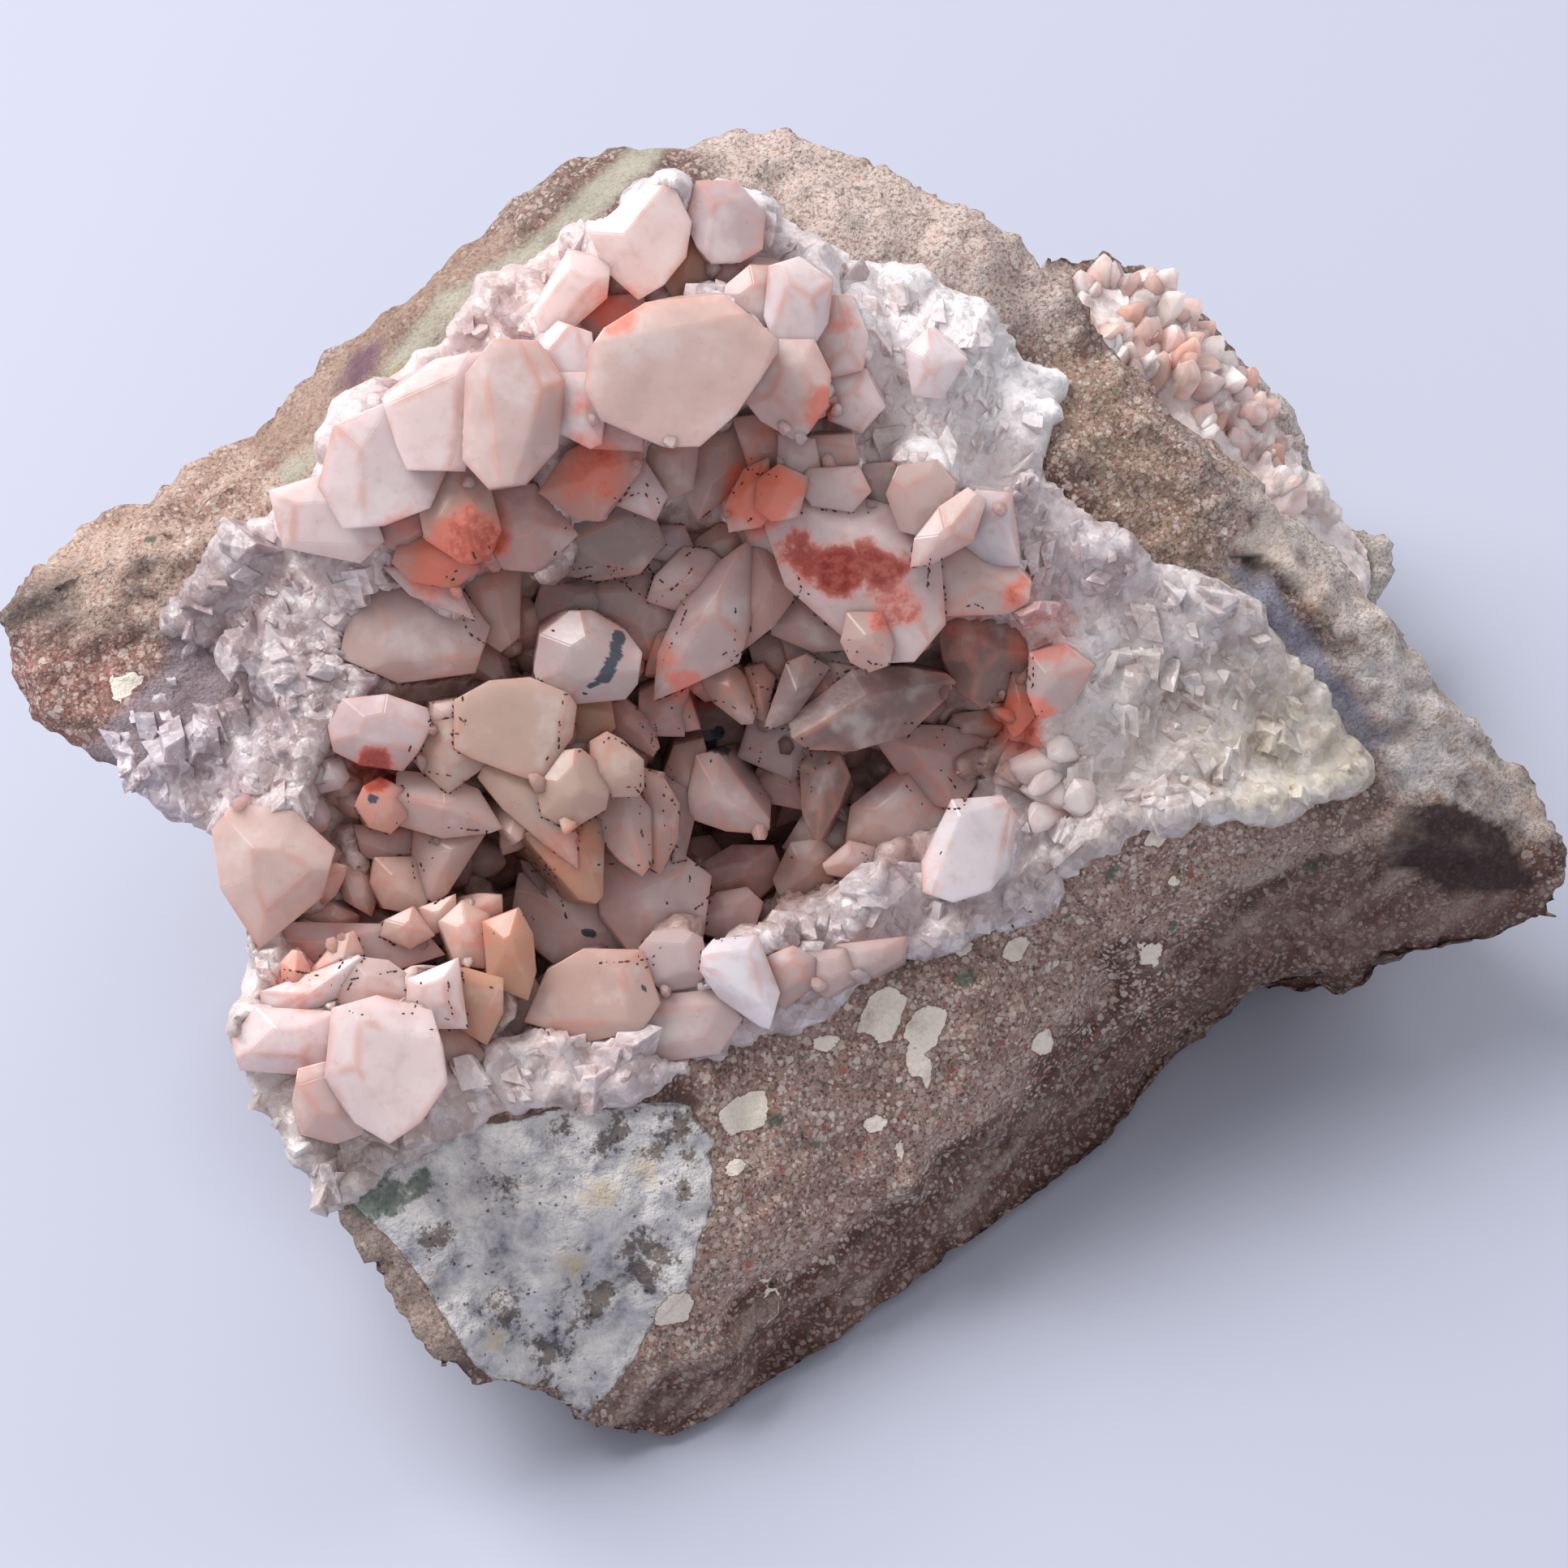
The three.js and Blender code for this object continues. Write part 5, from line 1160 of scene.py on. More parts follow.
# Strips with clear edges that lie over those regions: outline, colour, softness and grain.
STRIPS = [
    # band above the crystals, the rough strip beyond it and its purple spot
    ([(-38, 24), (-33, 29), (-31, 31), (-27, 35), (-24, 38), (-19, 39), (-20, 36.8), (-24, 34.6),
      (-28, 29.6), (-30, 26),
      (-36, 22)], (176, 150, 134), 0.5, 0.5),
    ([(-36, 22), (-30, 26), (-28, 29.6), (-26, 32.6), (-24, 34.6), (-20, 36.8), (-16, 40), (-13, 42.8),
      (-10, 46),
      (-7, 46), (-9, 43.6), (-12, 41), (-16, 37), (-20, 33), (-24, 29.2), (-28, 26), (-31, 24),
      (-35, 20.5)],
     (182, 177, 162), 0.4, 0.15),
    ([(-29.4, 27), (-26, 28.6), (-25, 29.6), (-27, 29.4)], (190, 164, 124), 0.6, 0.2),
    ([(-32, 28), (-30, 30.8), (-28.2, 31.2), (-28.6, 29.2), (-30.4, 27.6)], (120, 90, 104), 0.5, 0.2),
    # right shoulder: pale patch, blue-grey strip, its pale border, the crack and the dark facet
    ([(31.4, 16.4), (33, 18.2), (34.2, 19.8), (36, 16.6), (38.4, 12), (34.6, 15.4),
      (33, 16.2)], (236, 220, 208), 0.3, 0.2),
    ([(30.8, 15), (33.6, 15.4), (36, 12), (38.4, 8.6), (42.6, 3), (40, 1.4), (37.4, 5), (35.4, 8.4),
      (33, 11.6)],
     (158, 160, 178), 0.2, 0.4),
    ([(30.2, 14.9), (31.2, 14.8), (33.5, 11.4), (36.3, 7.8), (38.6, 5), (37.6, 4.8), (35.2, 7.4),
      (32.4, 11)],
     (220, 198, 176), 0.2, 0.1),
    ([(31, 15.9), (33.4, 16), (34.6, 15), (32.6, 14.8)], (34, 30, 38), 0.2, 0.1),
    ([(43, -1.6), (47, -1.2), (50.4, -3), (53, -7), (47, -7.8), (42.4, -5.4)], (62, 52, 54), 0.2, 0.2),
    # slab above the calcite on the right, and the dark rock under it
    ([(19.2, 31.2), (22, 29.6), (25.6, 26), (31, 16.8), (30, 15.4), (26, 15.4), (22.4, 20),
      (19.8, 24.5), (18.8, 28)],
     (176, 152, 134), 0.6, 0.8),
    ([(15, 24.6), (19.4, 23.4), (25.6, 15.2), (24, 14.6), (19, 18.8), (16, 22.4)], (136, 106, 92),
      0.6, 0.9),
    # dark line above the mottled clast
    ([(-28, -25), (-22, -23.6), (-12.8, -22.2), (-6, -21.4), (-5.5, -22.6), (-12.6, -23.4),
      (-22, -24.8), (-28, -26.4)],
     (92, 74, 72), 0.4, 0.4),
    # rock under the thin calcite on the left
    (WING, (160, 146, 154), 0.6, 0.3),
]
MOTTLED = [
    (-28, -25.8), (-22, -24), (-12.8, -22.8), (-6.4, -22.2), (-5, -24.8), (-5.2, -29.4),
    (-7.2, -35.6), (-10.6, -40.8), (-14, -44.6), (-21, -42), (-25.6, -35), (-29.6, -30), (-32, -27.6),
]
# Dark and ochre patches of the mottled clast.
DARK_PATCHES = [
    (-8.5, -24.8, 1.7), (-10, -34.1, 2.3), (-13.7, -36.4, 1.9), (-16.3, -40, 1.9), (-19.6, -37, 1.7),
    (-24, -32, 1.7), (-19.8, -28.2, 1.3), (-7, -29, 1.2), (-12.4, -25.6, 1.2),
    (-6.8, -23.6, 1.6), (-11, -23.8, 1.3), (-15.2, -24.2, 1.1), (-6.4, -26.4, 1.2),
]
OCHRE_PATCHES = [(-20.2, -38.9, 1.5), (-10, -27.4, 1.4), (-14.8, -34.2, 1.6), (-13, -29, 1.3),
    (-24, -35, 1.2)]
CLASTS = [
    (-2.8, -23.3, 2.3, 0.5), (7, -16.3, 2.2, 0.94), (9.9, -17.2, 1.9, 1.0), (3, -18.2, 1.0, 0.1),
    (16.3, -11.6, 1.3, 0.7), (6.3, -24, 0.9, 0.2), (-7.8, -37, 1.6, 0.8), (-3.5, -27, 0.9, 0.4),
    (26.2, -3.9, 0.9, 0.2), (18.2, -18.2, 1.1, 0.9), (12.5, -11.6, 0.8, 0.4), (27.6, -6.8, 0.7, 0.2),
]
GREENS = [
    (-28.6, -28.6, 3.2), (12.5, -13.6, 1.5), (-0.6, -23.6, 0.8), (22.8, -6, 1.0), (-44.5, 16.5, 0.7),
    (-24, -23, 1.4), (-26, -27, 1.6), (37, -5.5, 0.8), (-41, 12.5, 0.8),
]


# The ridge below the lower right face, closed round the flank under it.
FLANK = [
    (38, -4.3), (30, -7), (24, -11), (20.5, -15), (16.5, -20.5), (9, -28), (2, -32.5), (-3.8, -36),
    (-10.6, -43), (-14, -48), (-10, -62), (70, -62), (70, -4),
]
SHOULDER = [(17, 31), (26, 30), (50, 4), (60, -6), (46, -4), (38, 5), (30, 14), (18, 22)]
UPPER_SLOPE = [(-60, 8), (-48, 26), (-36, 34), (-12, 52), (-4, 49), (-8, 42.5), (-34, 20), (-44, 10)]


def strata(points, seen, direction, seed):
    """Noise drawn out along a direction, as layers of rock are."""
    c, s = math.cos(math.radians(direction)), math.sin(math.radians(direction))
    along = seen[:, 0] * c + seen[:, 1] * s
    across = seen[:, 1] * c - seen[:, 0] * s
    drawn = np.stack([along / 7, across, points[:, 2] * 0.6], -1)
    return ripple(drawn, 1.5, seed) + 0.5 * ripple(drawn, 0.7, seed + 1)


def rock_paint(mesh, points, mouth):
    """Colour, grain, clasts and stains of the rock, with painted shade under the lower right ridge and a
    painted highlight along it, kept as attributes of its points.
    """
    seen = from_front(mouth)
    soft = seen + np.stack([ripple(points, 5, 21), ripple(points, 5, 22)], -1) * 1.6
    facing = fade(-0.15, 0.2, normals(mesh) @ OUTWARD)
    patch = ripple(points, 16, 31) + 0.5 * ripple(points, 6, 32)
    tone = np.tile(linear((132, 114, 108)), (len(points), 1))
    tone = mix(tone, linear((108, 88, 82)), fade(0.1, 0.9, patch))
    tone = mix(tone, linear((158, 142, 132)), fade(0.1, 0.9, -patch))
    grain = np.full(len(points), 0.75)
    for outline, colour, softness, amount in ROCK_AREAS:
        inside = fade(softness, -softness, edge_distance(soft, outline)) * facing
        shade = 1 + 0.12 * ripple(points, 4, 41)
        tone = mix(tone, linear(colour) * np.clip(shade, 0.7, 1.3)[:, None], inside)
        grain += (amount - grain) * inside
    flank = np.clip(-edge_distance(soft, FLANK), -20, 20)
    layers = strata(points, seen, 47, 92)
    # The flank under the ridge is darkened as painted shade of the undercut, with light and dark layers
    # over it, and darker still further down as more painted shade.
    under = fade(0.0, 1.0, flank) * facing
    tone = mix(tone, linear((128, 104, 98)), under * 0.9)
    tone = mix(tone, linear((186, 170, 160)), under * fade(0.1, 0.7, layers) * fade(6.5, 3.5, flank) * 0.8)
    tone = mix(tone, linear((84, 62, 58)), under * fade(0.0, -0.6, layers) * 0.7)
    tone = mix(tone, linear((98, 74, 70)), under * fade(5.0, 8.0, flank) * 0.7)
    # A painted highlight along the ridge, and painted shade in the groove just below it.
    painted_ridge_highlight = fade(-0.9, -0.2, flank) * fade(0.6, 0.1, flank) * facing
    tone = mix(tone, linear((222, 200, 186)), painted_ridge_highlight * 0.55)
    painted_groove_shade = fade(0.3, 0.9, flank) * fade(2.6, 1.2, flank) * facing
    tone = mix(tone, linear((78, 60, 58)), painted_groove_shade * 0.6)
    shoulder = fade(1.5, -1.0, edge_distance(soft, SHOULDER)) * facing
    seams = strata(points, seen, -48, 94)
    tone = mix(tone, linear((172, 134, 96)), shoulder * fade(0.15, 0.6, seams) * 0.6)
    tone = mix(tone, linear((92, 78, 74)), shoulder * fade(-0.1, -0.6, seams) * 0.5)
    slope = fade(1.5, -1.0, edge_distance(soft, UPPER_SLOPE)) * facing
    bands = strata(points, seen, 43, 96)
    tone = mix(tone, linear((150, 118, 104)), slope * fade(0.0, -0.6, bands) * 0.6)
    grain *= 1 - 0.35 * under * fade(0.1, 0.7, layers)
    crisp = seen + np.stack([ripple(points, 2, 23), ripple(points, 2, 24)], -1) * 0.35
    for outline, colour, softness, amount in STRIPS:
        inside = fade(softness, -softness, edge_distance(crisp, outline)) * facing
        drawn = 1 + (0.1 + 0.2 * amount) * (bands if outline[0][0] < 0 else seams)
        drawn = drawn + 0.06 * ripple(points, 1.2, 43)
        tone = mix(tone, linear(colour) * np.clip(drawn, 0.6, 1.4)[:, None], inside)
        grain += (amount - grain) * inside
    clast = np.full(len(points), 5.0)
    dice = random_seed(3)
    for x, y, size, turn in CLASTS:
        d = seen - (x, y)
        c, s = math.cos(turn), math.sin(turn)
        d = np.stack([d[:, 0] * c + d[:, 1] * s, (d[:, 1] * c - d[:, 0] * s) * 1.5], -1)
        block = np.full(len(points), -9.0)
        for side in range(6):
            a = (side + dice.uniform(-0.3, 0.3)) * math.pi / 3
            block = np.maximum(block, d @ (math.cos(a), math.sin(a)) - size * dice.uniform(0.7, 1.05))
        clast = np.minimum(clast, np.where(facing > 0.3, block, 5.0))
    offset, numbers, _ = chips(points, 5.0, 66)
    loose = np.full(len(points), -9.0)
    for side in range(6):
        aim = chips_aim(numbers, side)
        loose = np.maximum(loose, (offset * aim).sum(1) - 0.5 - 1.4 * numbers[:, side % 4] ** 2)
    mottled = 0.5 - edge_distance(seen + 0.4 * (soft - seen), MOTTLED) / 4
    scarce = 0.92 - 0.3 * fade(-0.2, 0.6, ripple(points, 18, 67))
    free = (numbers[:, 2] > scarce) & (grain > 0.6) & ((mottled < 0.3) & (seen[:, 1] < 8) | (facing < 0.3))
    clast = np.minimum(clast, np.where(free, loose, 5.0))
    green = np.zeros(len(points))
    for x, y, size in GREENS:
        green = np.maximum(green, facing * fade(1.3, 0.3, away_from(soft, x, y, size)))
    green = np.maximum(green, 0.75 * fade(0.75, 0.95, ripple(points, 5, 61)) * (1 - facing))
    write_colour(mesh, "tone", np.clip(tone, 0, 1))
    patches = np.zeros((len(points), 3))
    ragged = soft * 0.4 + seen * 0.6
    for channel, spots in enumerate((DARK_PATCHES, OCHRE_PATCHES)):
        for x, y, size in spots:
            near = fade(1.9, 0.0, away_from(ragged, x, y, size))
            patches[:, channel] = np.maximum(patches[:, channel], near * facing)
    write_colour(mesh, "patches", patches)
    marks = np.stack([grain, np.clip(mottled, 0, 1) * facing, green], -1)
    write_colour(mesh, "marks", marks)
    write_number(mesh, "clast_mm", clast)


def rock_relief(mesh):
    """Broken relief of the rock; returns its points in the standing and the mouth frame."""
    points = places(mesh)
    out = normals(mesh)
    mouth = to_mouth(points)
    height = 0.25 * ripple(points, 8, 1) + 0.08 * ripple(points, 1.4, 3)
    height += corners(points, 9, 4, 0.24) + corners(points, 3.4, 5, 0.3)
    height += facets(points, 1.9, 6, 0.22, 0.1)
    seen = from_front(mouth)
    facing = fade(-0.1, 0.25, out @ OUTWARD)
    flank = -edge_distance(seen + 0.9 * ripple(points, 4, 9)[:, None], FLANK)
    layers = fade(0.0, 1.0, flank) * strata(points, seen, 47, 92)
    shoulder = fade(1.0, -1.0, edge_distance(seen, SHOULDER))
    slope = fade(1.0, -1.0, edge_distance(seen, UPPER_SLOPE))
    layers += shoulder * strata(points, seen, -48, 94) + slope * strata(points, seen, 43, 96)
    height += 0.7 * layers * facing
    back = 0.9 * fade(0.0, 1.0, flank) + 0.6 * fade(3.2, 3.9, flank) + 0.5 * fade(6.0, 6.7, flank)
    back = back * facing * fade(60, 46, seen[:, 0] - seen[:, 1] * 0.2)
    steady = fade(0.4, 3.0, points[:, 2])
    for outline, _, _, amount in STRIPS:
        height *= 1 - 0.6 * (1 - amount) * facing * fade(0.6, -0.4, edge_distance(seen, outline))
    points = points + out * (height * steady)[:, None]
    points = points - OUTWARD * (back * steady)[:, None]
    # The lip at the calcite reaches a little way into it.
    edge = edge_distance(mouth[:, :2], CALCITE_EDGE)
    inward = np.array([*CALCITE_MIDDLE, 0.0]) - mouth * (1, 1, 0)
    inward /= np.linalg.norm(inward, axis=1)[:, None] + 1e-9
    lip = fade(2.2, 0.7, edge) * fade(-32, -26, mouth[:, 2]) * 0.9
    points = points + (inward * lip[:, None]) @ MOUTH_TURN.T
    points[:, 2] = np.maximum(points[:, 2], 0)
    put(mesh, points)
    return points, to_mouth(points)


# ---- Operators ----

class CalciteSizes(bpy.types.PropertyGroup):
    """Sizes and counts of the dressed specimen."""

    rock_face: FloatProperty(
        name="Rock face", description="Edge length of the rock's mesh faces", default=0.00062,
        min=0.0003, max=0.003, unit="LENGTH", precision=5,
    )
    calcite_face: FloatProperty(
        name="Calcite face", description="Edge length of the broken calcite's mesh faces",
        default=0.00048, min=0.0003, max=0.003, unit="LENGTH", precision=5,
    )
    small_crystals: IntProperty(
        name="Small crystals", description="Small crystals on the hollow's wall", default=800, min=0,
    )
    crevice_crystals: IntProperty(
        name="Crevice crystals", description="Small crystals between the large ones", default=150, min=0,
    )
    blocks: IntProperty(
        name="Broken blocks", description="Cleavage blocks on the broken calcite", default=1200, min=0,
    )
    back_crystals: IntProperty(
        name="Back crystals", description="Small crystals in the back hollow", default=150, min=0,
    )


class CalciteColours(bpy.types.PropertyGroup):
    """Colours of the stage and its light."""

    floor: FloatVectorProperty(
        name="Floor", description="Colour of the floor", subtype="COLOR", size=4,
        default=rgba((188, 192, 210)), min=0, max=1,
    )
    light: FloatVectorProperty(
        name="Light", description="Colour of the soft light", subtype="COLOR", size=3,
        default=(1.0, 0.985, 0.97), min=0, max=1,
    )


def random_seed(number):
    return np.random.default_rng(number)


def one_of(choices, random):
    return choices[int(random.integers(len(choices)))]


class CALCITE_OT_rock(bpy.types.Operator):
    """Build the broken rock around both hollows"""

    bl_idname = "calcite.rock"
    bl_label = "Host rock"

    def execute(self, context):
        sizes = context.scene.calcite_sizes
        rock = even_copy("broken_rock", "host_rock", sizes.rock_face / MM)
        points, mouth = rock_relief(rock.data)
        rock_paint(rock.data, points, mouth)
        dress(rock, rock_finish("breccia"), "rock", "host_rock")
        return {"FINISHED"}


def crystal_cover(mouth, reach=OUTLINE_GROWTH):
    """The height (mouth z) of the frontmost placed crystal whose outline holds each point,
    or a very low one outside them all."""
    seen = from_front(mouth)
    height = np.full(len(mouth), NO_COVER)
    for rim, *_, outline in CRYSTALS:
        low, high = np.min(outline, axis=0) - 1, np.max(outline, axis=0) + 1
        near = np.flatnonzero(((seen > low) & (seen < high)).all(1))
        inside = near[edge_distance(seen[near], outline) < reach]
        height[inside] = np.maximum(height[inside], rim)
    return height


def crust_relief(mesh):
    """Height of a lining broken into cleavage facets, with its points and normals."""
    points = places(mesh)
    out = normals(mesh)
    height = corners(points, 5.2, 11, 0.5) + corners(points, 2.2, 12, 0.45)
    height += 0.1 * ripple(points, 1.1, 13)
    return points, out, height


class CALCITE_OT_crust(bpy.types.Operator):
    """Build the broken calcite around and inside the hollow"""

    bl_idname = "calcite.crust"
    bl_label = "Broken calcite"

    def execute(self, context):
        sizes = context.scene.calcite_sizes
        crust = even_copy("broken_calcite", "pocket_crystals", sizes.calcite_face / MM)
        mesh = crust.data
        points, out, height = crust_relief(mesh)
        outer = fade(-2.5, -0.5, edge_distance(to_mouth(points)[:, :2], CALCITE_EDGE))
        points = points + out * (height + 0.3 + 0.7 * outer)[:, None]
        mouth = to_mouth(points)
        ceiling = crystal_cover(mouth)
        sunk = np.where(ceiling > NO_COVER, np.clip(mouth[:, 2] - ceiling + 0.6, 0, 1.6), 0)
        points = points - OUTWARD * sunk[:, None]
        put(mesh, points)
        paint_calcite(mesh, points, to_mouth(points))
        dress(crust, calcite_finish("broken_calcite", False), "calcite", "pocket_crystals")
        return {"FINISHED"}


def crust_tone(points, mouth):
    """Linear colour of the broken calcite at points of the mouth frame, with painted shade down in the
    hollow.
    """
    seen = from_front(mouth)
    spot = seen + np.stack([ripple(points, 4, 71), ripple(points, 4, 72)], -1) * 1.8
    weights = np.full(len(points), 1e-4)
    tone = np.tile(linear((208, 188, 186)), (len(points), 1)) * 1e-4
    for x, y, reach, colour in CRUST_TONES:
        w = np.exp(-((spot[:, 0] - x) ** 2 + (spot[:, 1] - y) ** 2) / reach**2)
        weights += w
        tone += w[:, None] * linear(colour)
    tone /= weights[:, None]
    # Inside the hollow the lining turns warmer and darker, partly as painted shade, and deeper down darker
    # still as painted shade; painted hollow shade then darkens it once more.
    inside = fade(0.5, -2.0, edge_distance(spot, HOLLOW_EDGE))
    tone = mix(tone, linear(HOLLOW_LINING_AND_SHADE), inside)
    tone = mix(tone, linear(DEEP_PAINTED_SHADE), inside * fade(-6, -14, mouth[:, 2]))
    grain = 1 + 0.1 * ripple(points, 2.2, 81)
    return np.clip(tone * grain[:, None] * painted_hollow_shade(mouth), 0, 0.95)


def paint_calcite(mesh, points, mouth):
    """Colour, white granular places, depth (for painted shade in the hollow) and stains of the broken
    calcite.
    """
    write_colour(mesh, "tone", crust_tone(points, mouth))
    sugar = np.zeros(len(points))
    seen = from_front(mouth)
    for x, y, reach in SUGAR:
        sugar = np.maximum(sugar, fade(1.2, 0.5, away_from(seen, x, y, reach)))
    # How deep in the hollow each point is, which the shader uses for painted shade.
    deep = fade(1.0, -3.0, edge_distance(seen, HOLLOW_EDGE)) * fade(4.0, -3.0, mouth[:, 2])
    write_colour(mesh, "marks", np.stack([sugar, deep, sugar * 0], -1))
    write_colour(mesh, "stain", stains_at(mouth))


class CALCITE_OT_crystals(bpy.types.Operator):
    """Build the large crystals, each in its own place"""

    bl_idname = "calcite.crystals"
    bl_label = "Large crystals"

    def execute(self, context):
        random = random_seed(7)
        crust = surface_of("broken_calcite")
        meshes, crystals = [], []
        for row in CRYSTALS:
            mesh, *ends = outlined_crystal(row, crust, random)
            mesh.transform(MOUTH @ Matrix.Scale(MM, 4))
            tone_layer(mesh, TONES[row[4]], random)
            meshes.append(mesh)
            crystals.append(ends)
        crystal_sets("large_crystals", meshes, crystals, calcite_finish("crystal_calcite", True))
        return {"FINISHED"}


class CALCITE_OT_grains(bpy.types.Operator):
    """Set rows of small dark grains along the outlines of the large crystals"""

    bl_idname = "calcite.grains"
    bl_label = "Contact grains"

    step = 0.5

    def execute(self, context):
        random = random_seed(37)
        tree = surface_of("large_crystals")
        spots = []
        for rim, *_, outline in CRYSTALS:
            hull = [Vector(outline[k]) for k in convex_hull_2d(outline)]
            middle = sum(hull, Vector((0, 0))) / len(hull)
            for a, b in zip(hull, hull[1:] + hull[:1]):
                for share in random.uniform(0, 1, random.poisson((b - a).length / self.step)):
                    edge = a.lerp(b, share)
                    edge += (edge - middle).normalized() * random.uniform(OUTLINE_GROWTH, 0.46)
                    spots.append((*edge, rim, *(b - a)))
        spots = np.array(spots)
        rows = ripple(spots[:, :3], 4.2, 41) + 0.4 * ripple(spots[:, :3], 1.1, 42)
        dotted = edge_distance(spots[:, :2], HOLLOW_EDGE) < 1.5
        bm = bmesh.new()
        for u, v, rim, x, y in spots[(rows > 0.05) & dotted]:
            hit, _ = strike(tree, EYE, (u, v, -VIEW_DISTANCE))
            if hit is None or hit.z < rim - 4:
                continue
            aim = Vector((x, y, 0)).to_track_quat("Z", "Y").to_matrix().to_4x4()
            width = random.uniform(0.09, 0.2)
            stretch = Matrix.Diagonal((width, width, width * random.uniform(1, 2.4), 1))
            place = MOUTH @ Matrix.Translation(hit * MM) @ aim @ stretch @ Matrix.Scale(MM, 4)
            bmesh.ops.create_icosphere(bm, subdivisions=1, radius=0.5, matrix=place)
        grains = new_object("contact_grains", mesh_of(bm, "contact_grains"))
        dress(grains, grain_finish("dark_grains"), "calcite")
        return {"FINISHED"}


def surface_of(name):
    """The pieces whose names start so, as one surface for rays."""
    bm = bmesh.new()
    for piece in pieces_of(name):
        bm.from_mesh(piece.data)
    tree = BVHTree.FromBMesh(bm)
    bm.free()
    return tree


def strike(tree, start, direction):
    """Where a ray in the mouth frame (millimetres) meets a surface: place and normal."""
    turn = MOUTH.to_3x3()
    hit, normal, _, _ = tree.ray_cast(MOUTH @ (Vector(start) * MM), turn @ Vector(direction))
    if hit is None:
        return None, None
    return (MOUTH.inverted() @ hit) / MM, turn.inverted() @ normal


class CALCITE_OT_small_crystals(bpy.types.Operator):
    """Scatter small crystals over the wall of the hollow"""

    bl_idname = "calcite.small_crystals"
    bl_label = "Small crystals"

    def execute(self, context):
        random = random_seed(19)
        tree = surface_of("broken_calcite")
        heart = Vector(HOLLOW_HEART)
        masters = [crystal_mesh(2.0 + 0.15 * i, "spear" if i % 3 else "blunt", random) for i in range(9)]
        meshes, crystals = [], []
        large = surface_of("large_crystals")
        for _ in range(context.scene.calcite_sizes.crevice_crystals):
            rim, *_, kind, outline = one_of(CRYSTALS, random)
            u, v = Vector(one_of(outline, random)) + Vector(random.normal(0, 0.5, 2))
            spot, normal = strike(large, EYE, (u, v, -VIEW_DISTANCE))
            if spot is None or spot.z > rim + 0.2:
                continue
            out = (normal * 0.6 + Vector((0, 0, 0.8)) + Vector(random.normal(0, 0.4, 3))).normalized()
            width = random.uniform(0.6, 1.3)
            length = width * random.uniform(1.4, 2.4)
            mesh = one_of(masters, random).copy()
            mesh.transform(Matrix.Diagonal((width, width, length / 2.3, 1)))
            root = spot - out * length * 0.5
            stand(mesh, root, root + out, random.uniform(0, 3))
            tone_layer(mesh, TONES[kind], random)
            meshes.append(mesh)
            crystals.append((root, root + out * length, width))
        wanted = context.scene.calcite_sizes.small_crystals
        for i in range(wanted):
            if i % 3:
                aim = Vector(random.normal(0, 1, 3))
                aim.z = -abs(aim.z) * 0.6
                shift = (random.uniform(-18, 14), random.uniform(-7, 9), random.uniform(0, 5))
                start = heart + Vector(shift)
                spot, normal = strike(tree, start, aim.normalized())
            else:
                start = Vector((random.uniform(-34, 19), random.uniform(-18, 21), 60))
                inside = edge_distance(np.array([[start.x, start.y]]), HOLLOW_EDGE)[0]
                spot, normal = strike(tree, start, (0, 0, -1)) if inside < -1.0 else (None, None)
            if spot is None or spot.z > 1.5 or (spot.x > -2 and spot.y < -4):
                continue
            out = (normal * 0.8 + (heart + Vector((0, 0, 8)) - spot).normalized() * 0.9)
            out = (out + Vector(random.normal(0, 0.35, 3))).normalized()
            width = random.uniform(1.8, 4.0)
            length = width * random.uniform(1.0, 1.6)
            ends = np.array([spot + out * length * share for share in (0.2, 0.5, 0.8)])
            over = crystal_cover(ends, 0.4)
            if ((over > NO_COVER) & (over < ends[:, 2] + 1.5)).any():
                continue
            mesh = one_of(masters, random).copy()
            mesh.transform(Matrix.Diagonal((width, width, length / 2.3, 1)))
            # The broken calcite's colour here, painted shade of the hollow included.
            rgb = crust_tone(np.array([spot]), np.array([spot]))[0] * random.uniform(1.0, 1.3)
            write_colour(mesh, "tone", np.clip(rgb, 0, 0.9))
            root = spot - out * length * 0.4
            stand(mesh, root, root + out, random.uniform(0, 3))
            meshes.append(mesh)
            crystals.append((root, root + out * length, width))
        crystal_sets("small_crystals", meshes, crystals, bpy.data.materials["crystal_calcite"])
        return {"FINISHED"}


def cleavage_block(random):
    """A broken cleavage block about one millimetre across."""
    bm = bmesh.new()
    bmesh.ops.create_cube(bm, size=1)
    shear = Matrix(((1, 0.2, 0.2, 0), (0.0, 1, 0.25, 0), (0, 0, 0.8, 0), (0, 0, 0, 1)))
    bmesh.ops.transform(bm, matrix=shear, verts=bm.verts)
    for _ in range(3):
        cut(bm, Vector(random.normal(0, 1, 3)), random.uniform(0.42, 0.6))
    bmesh.ops.recalc_face_normals(bm, faces=bm.faces)
    return mesh_of(bm, "block")


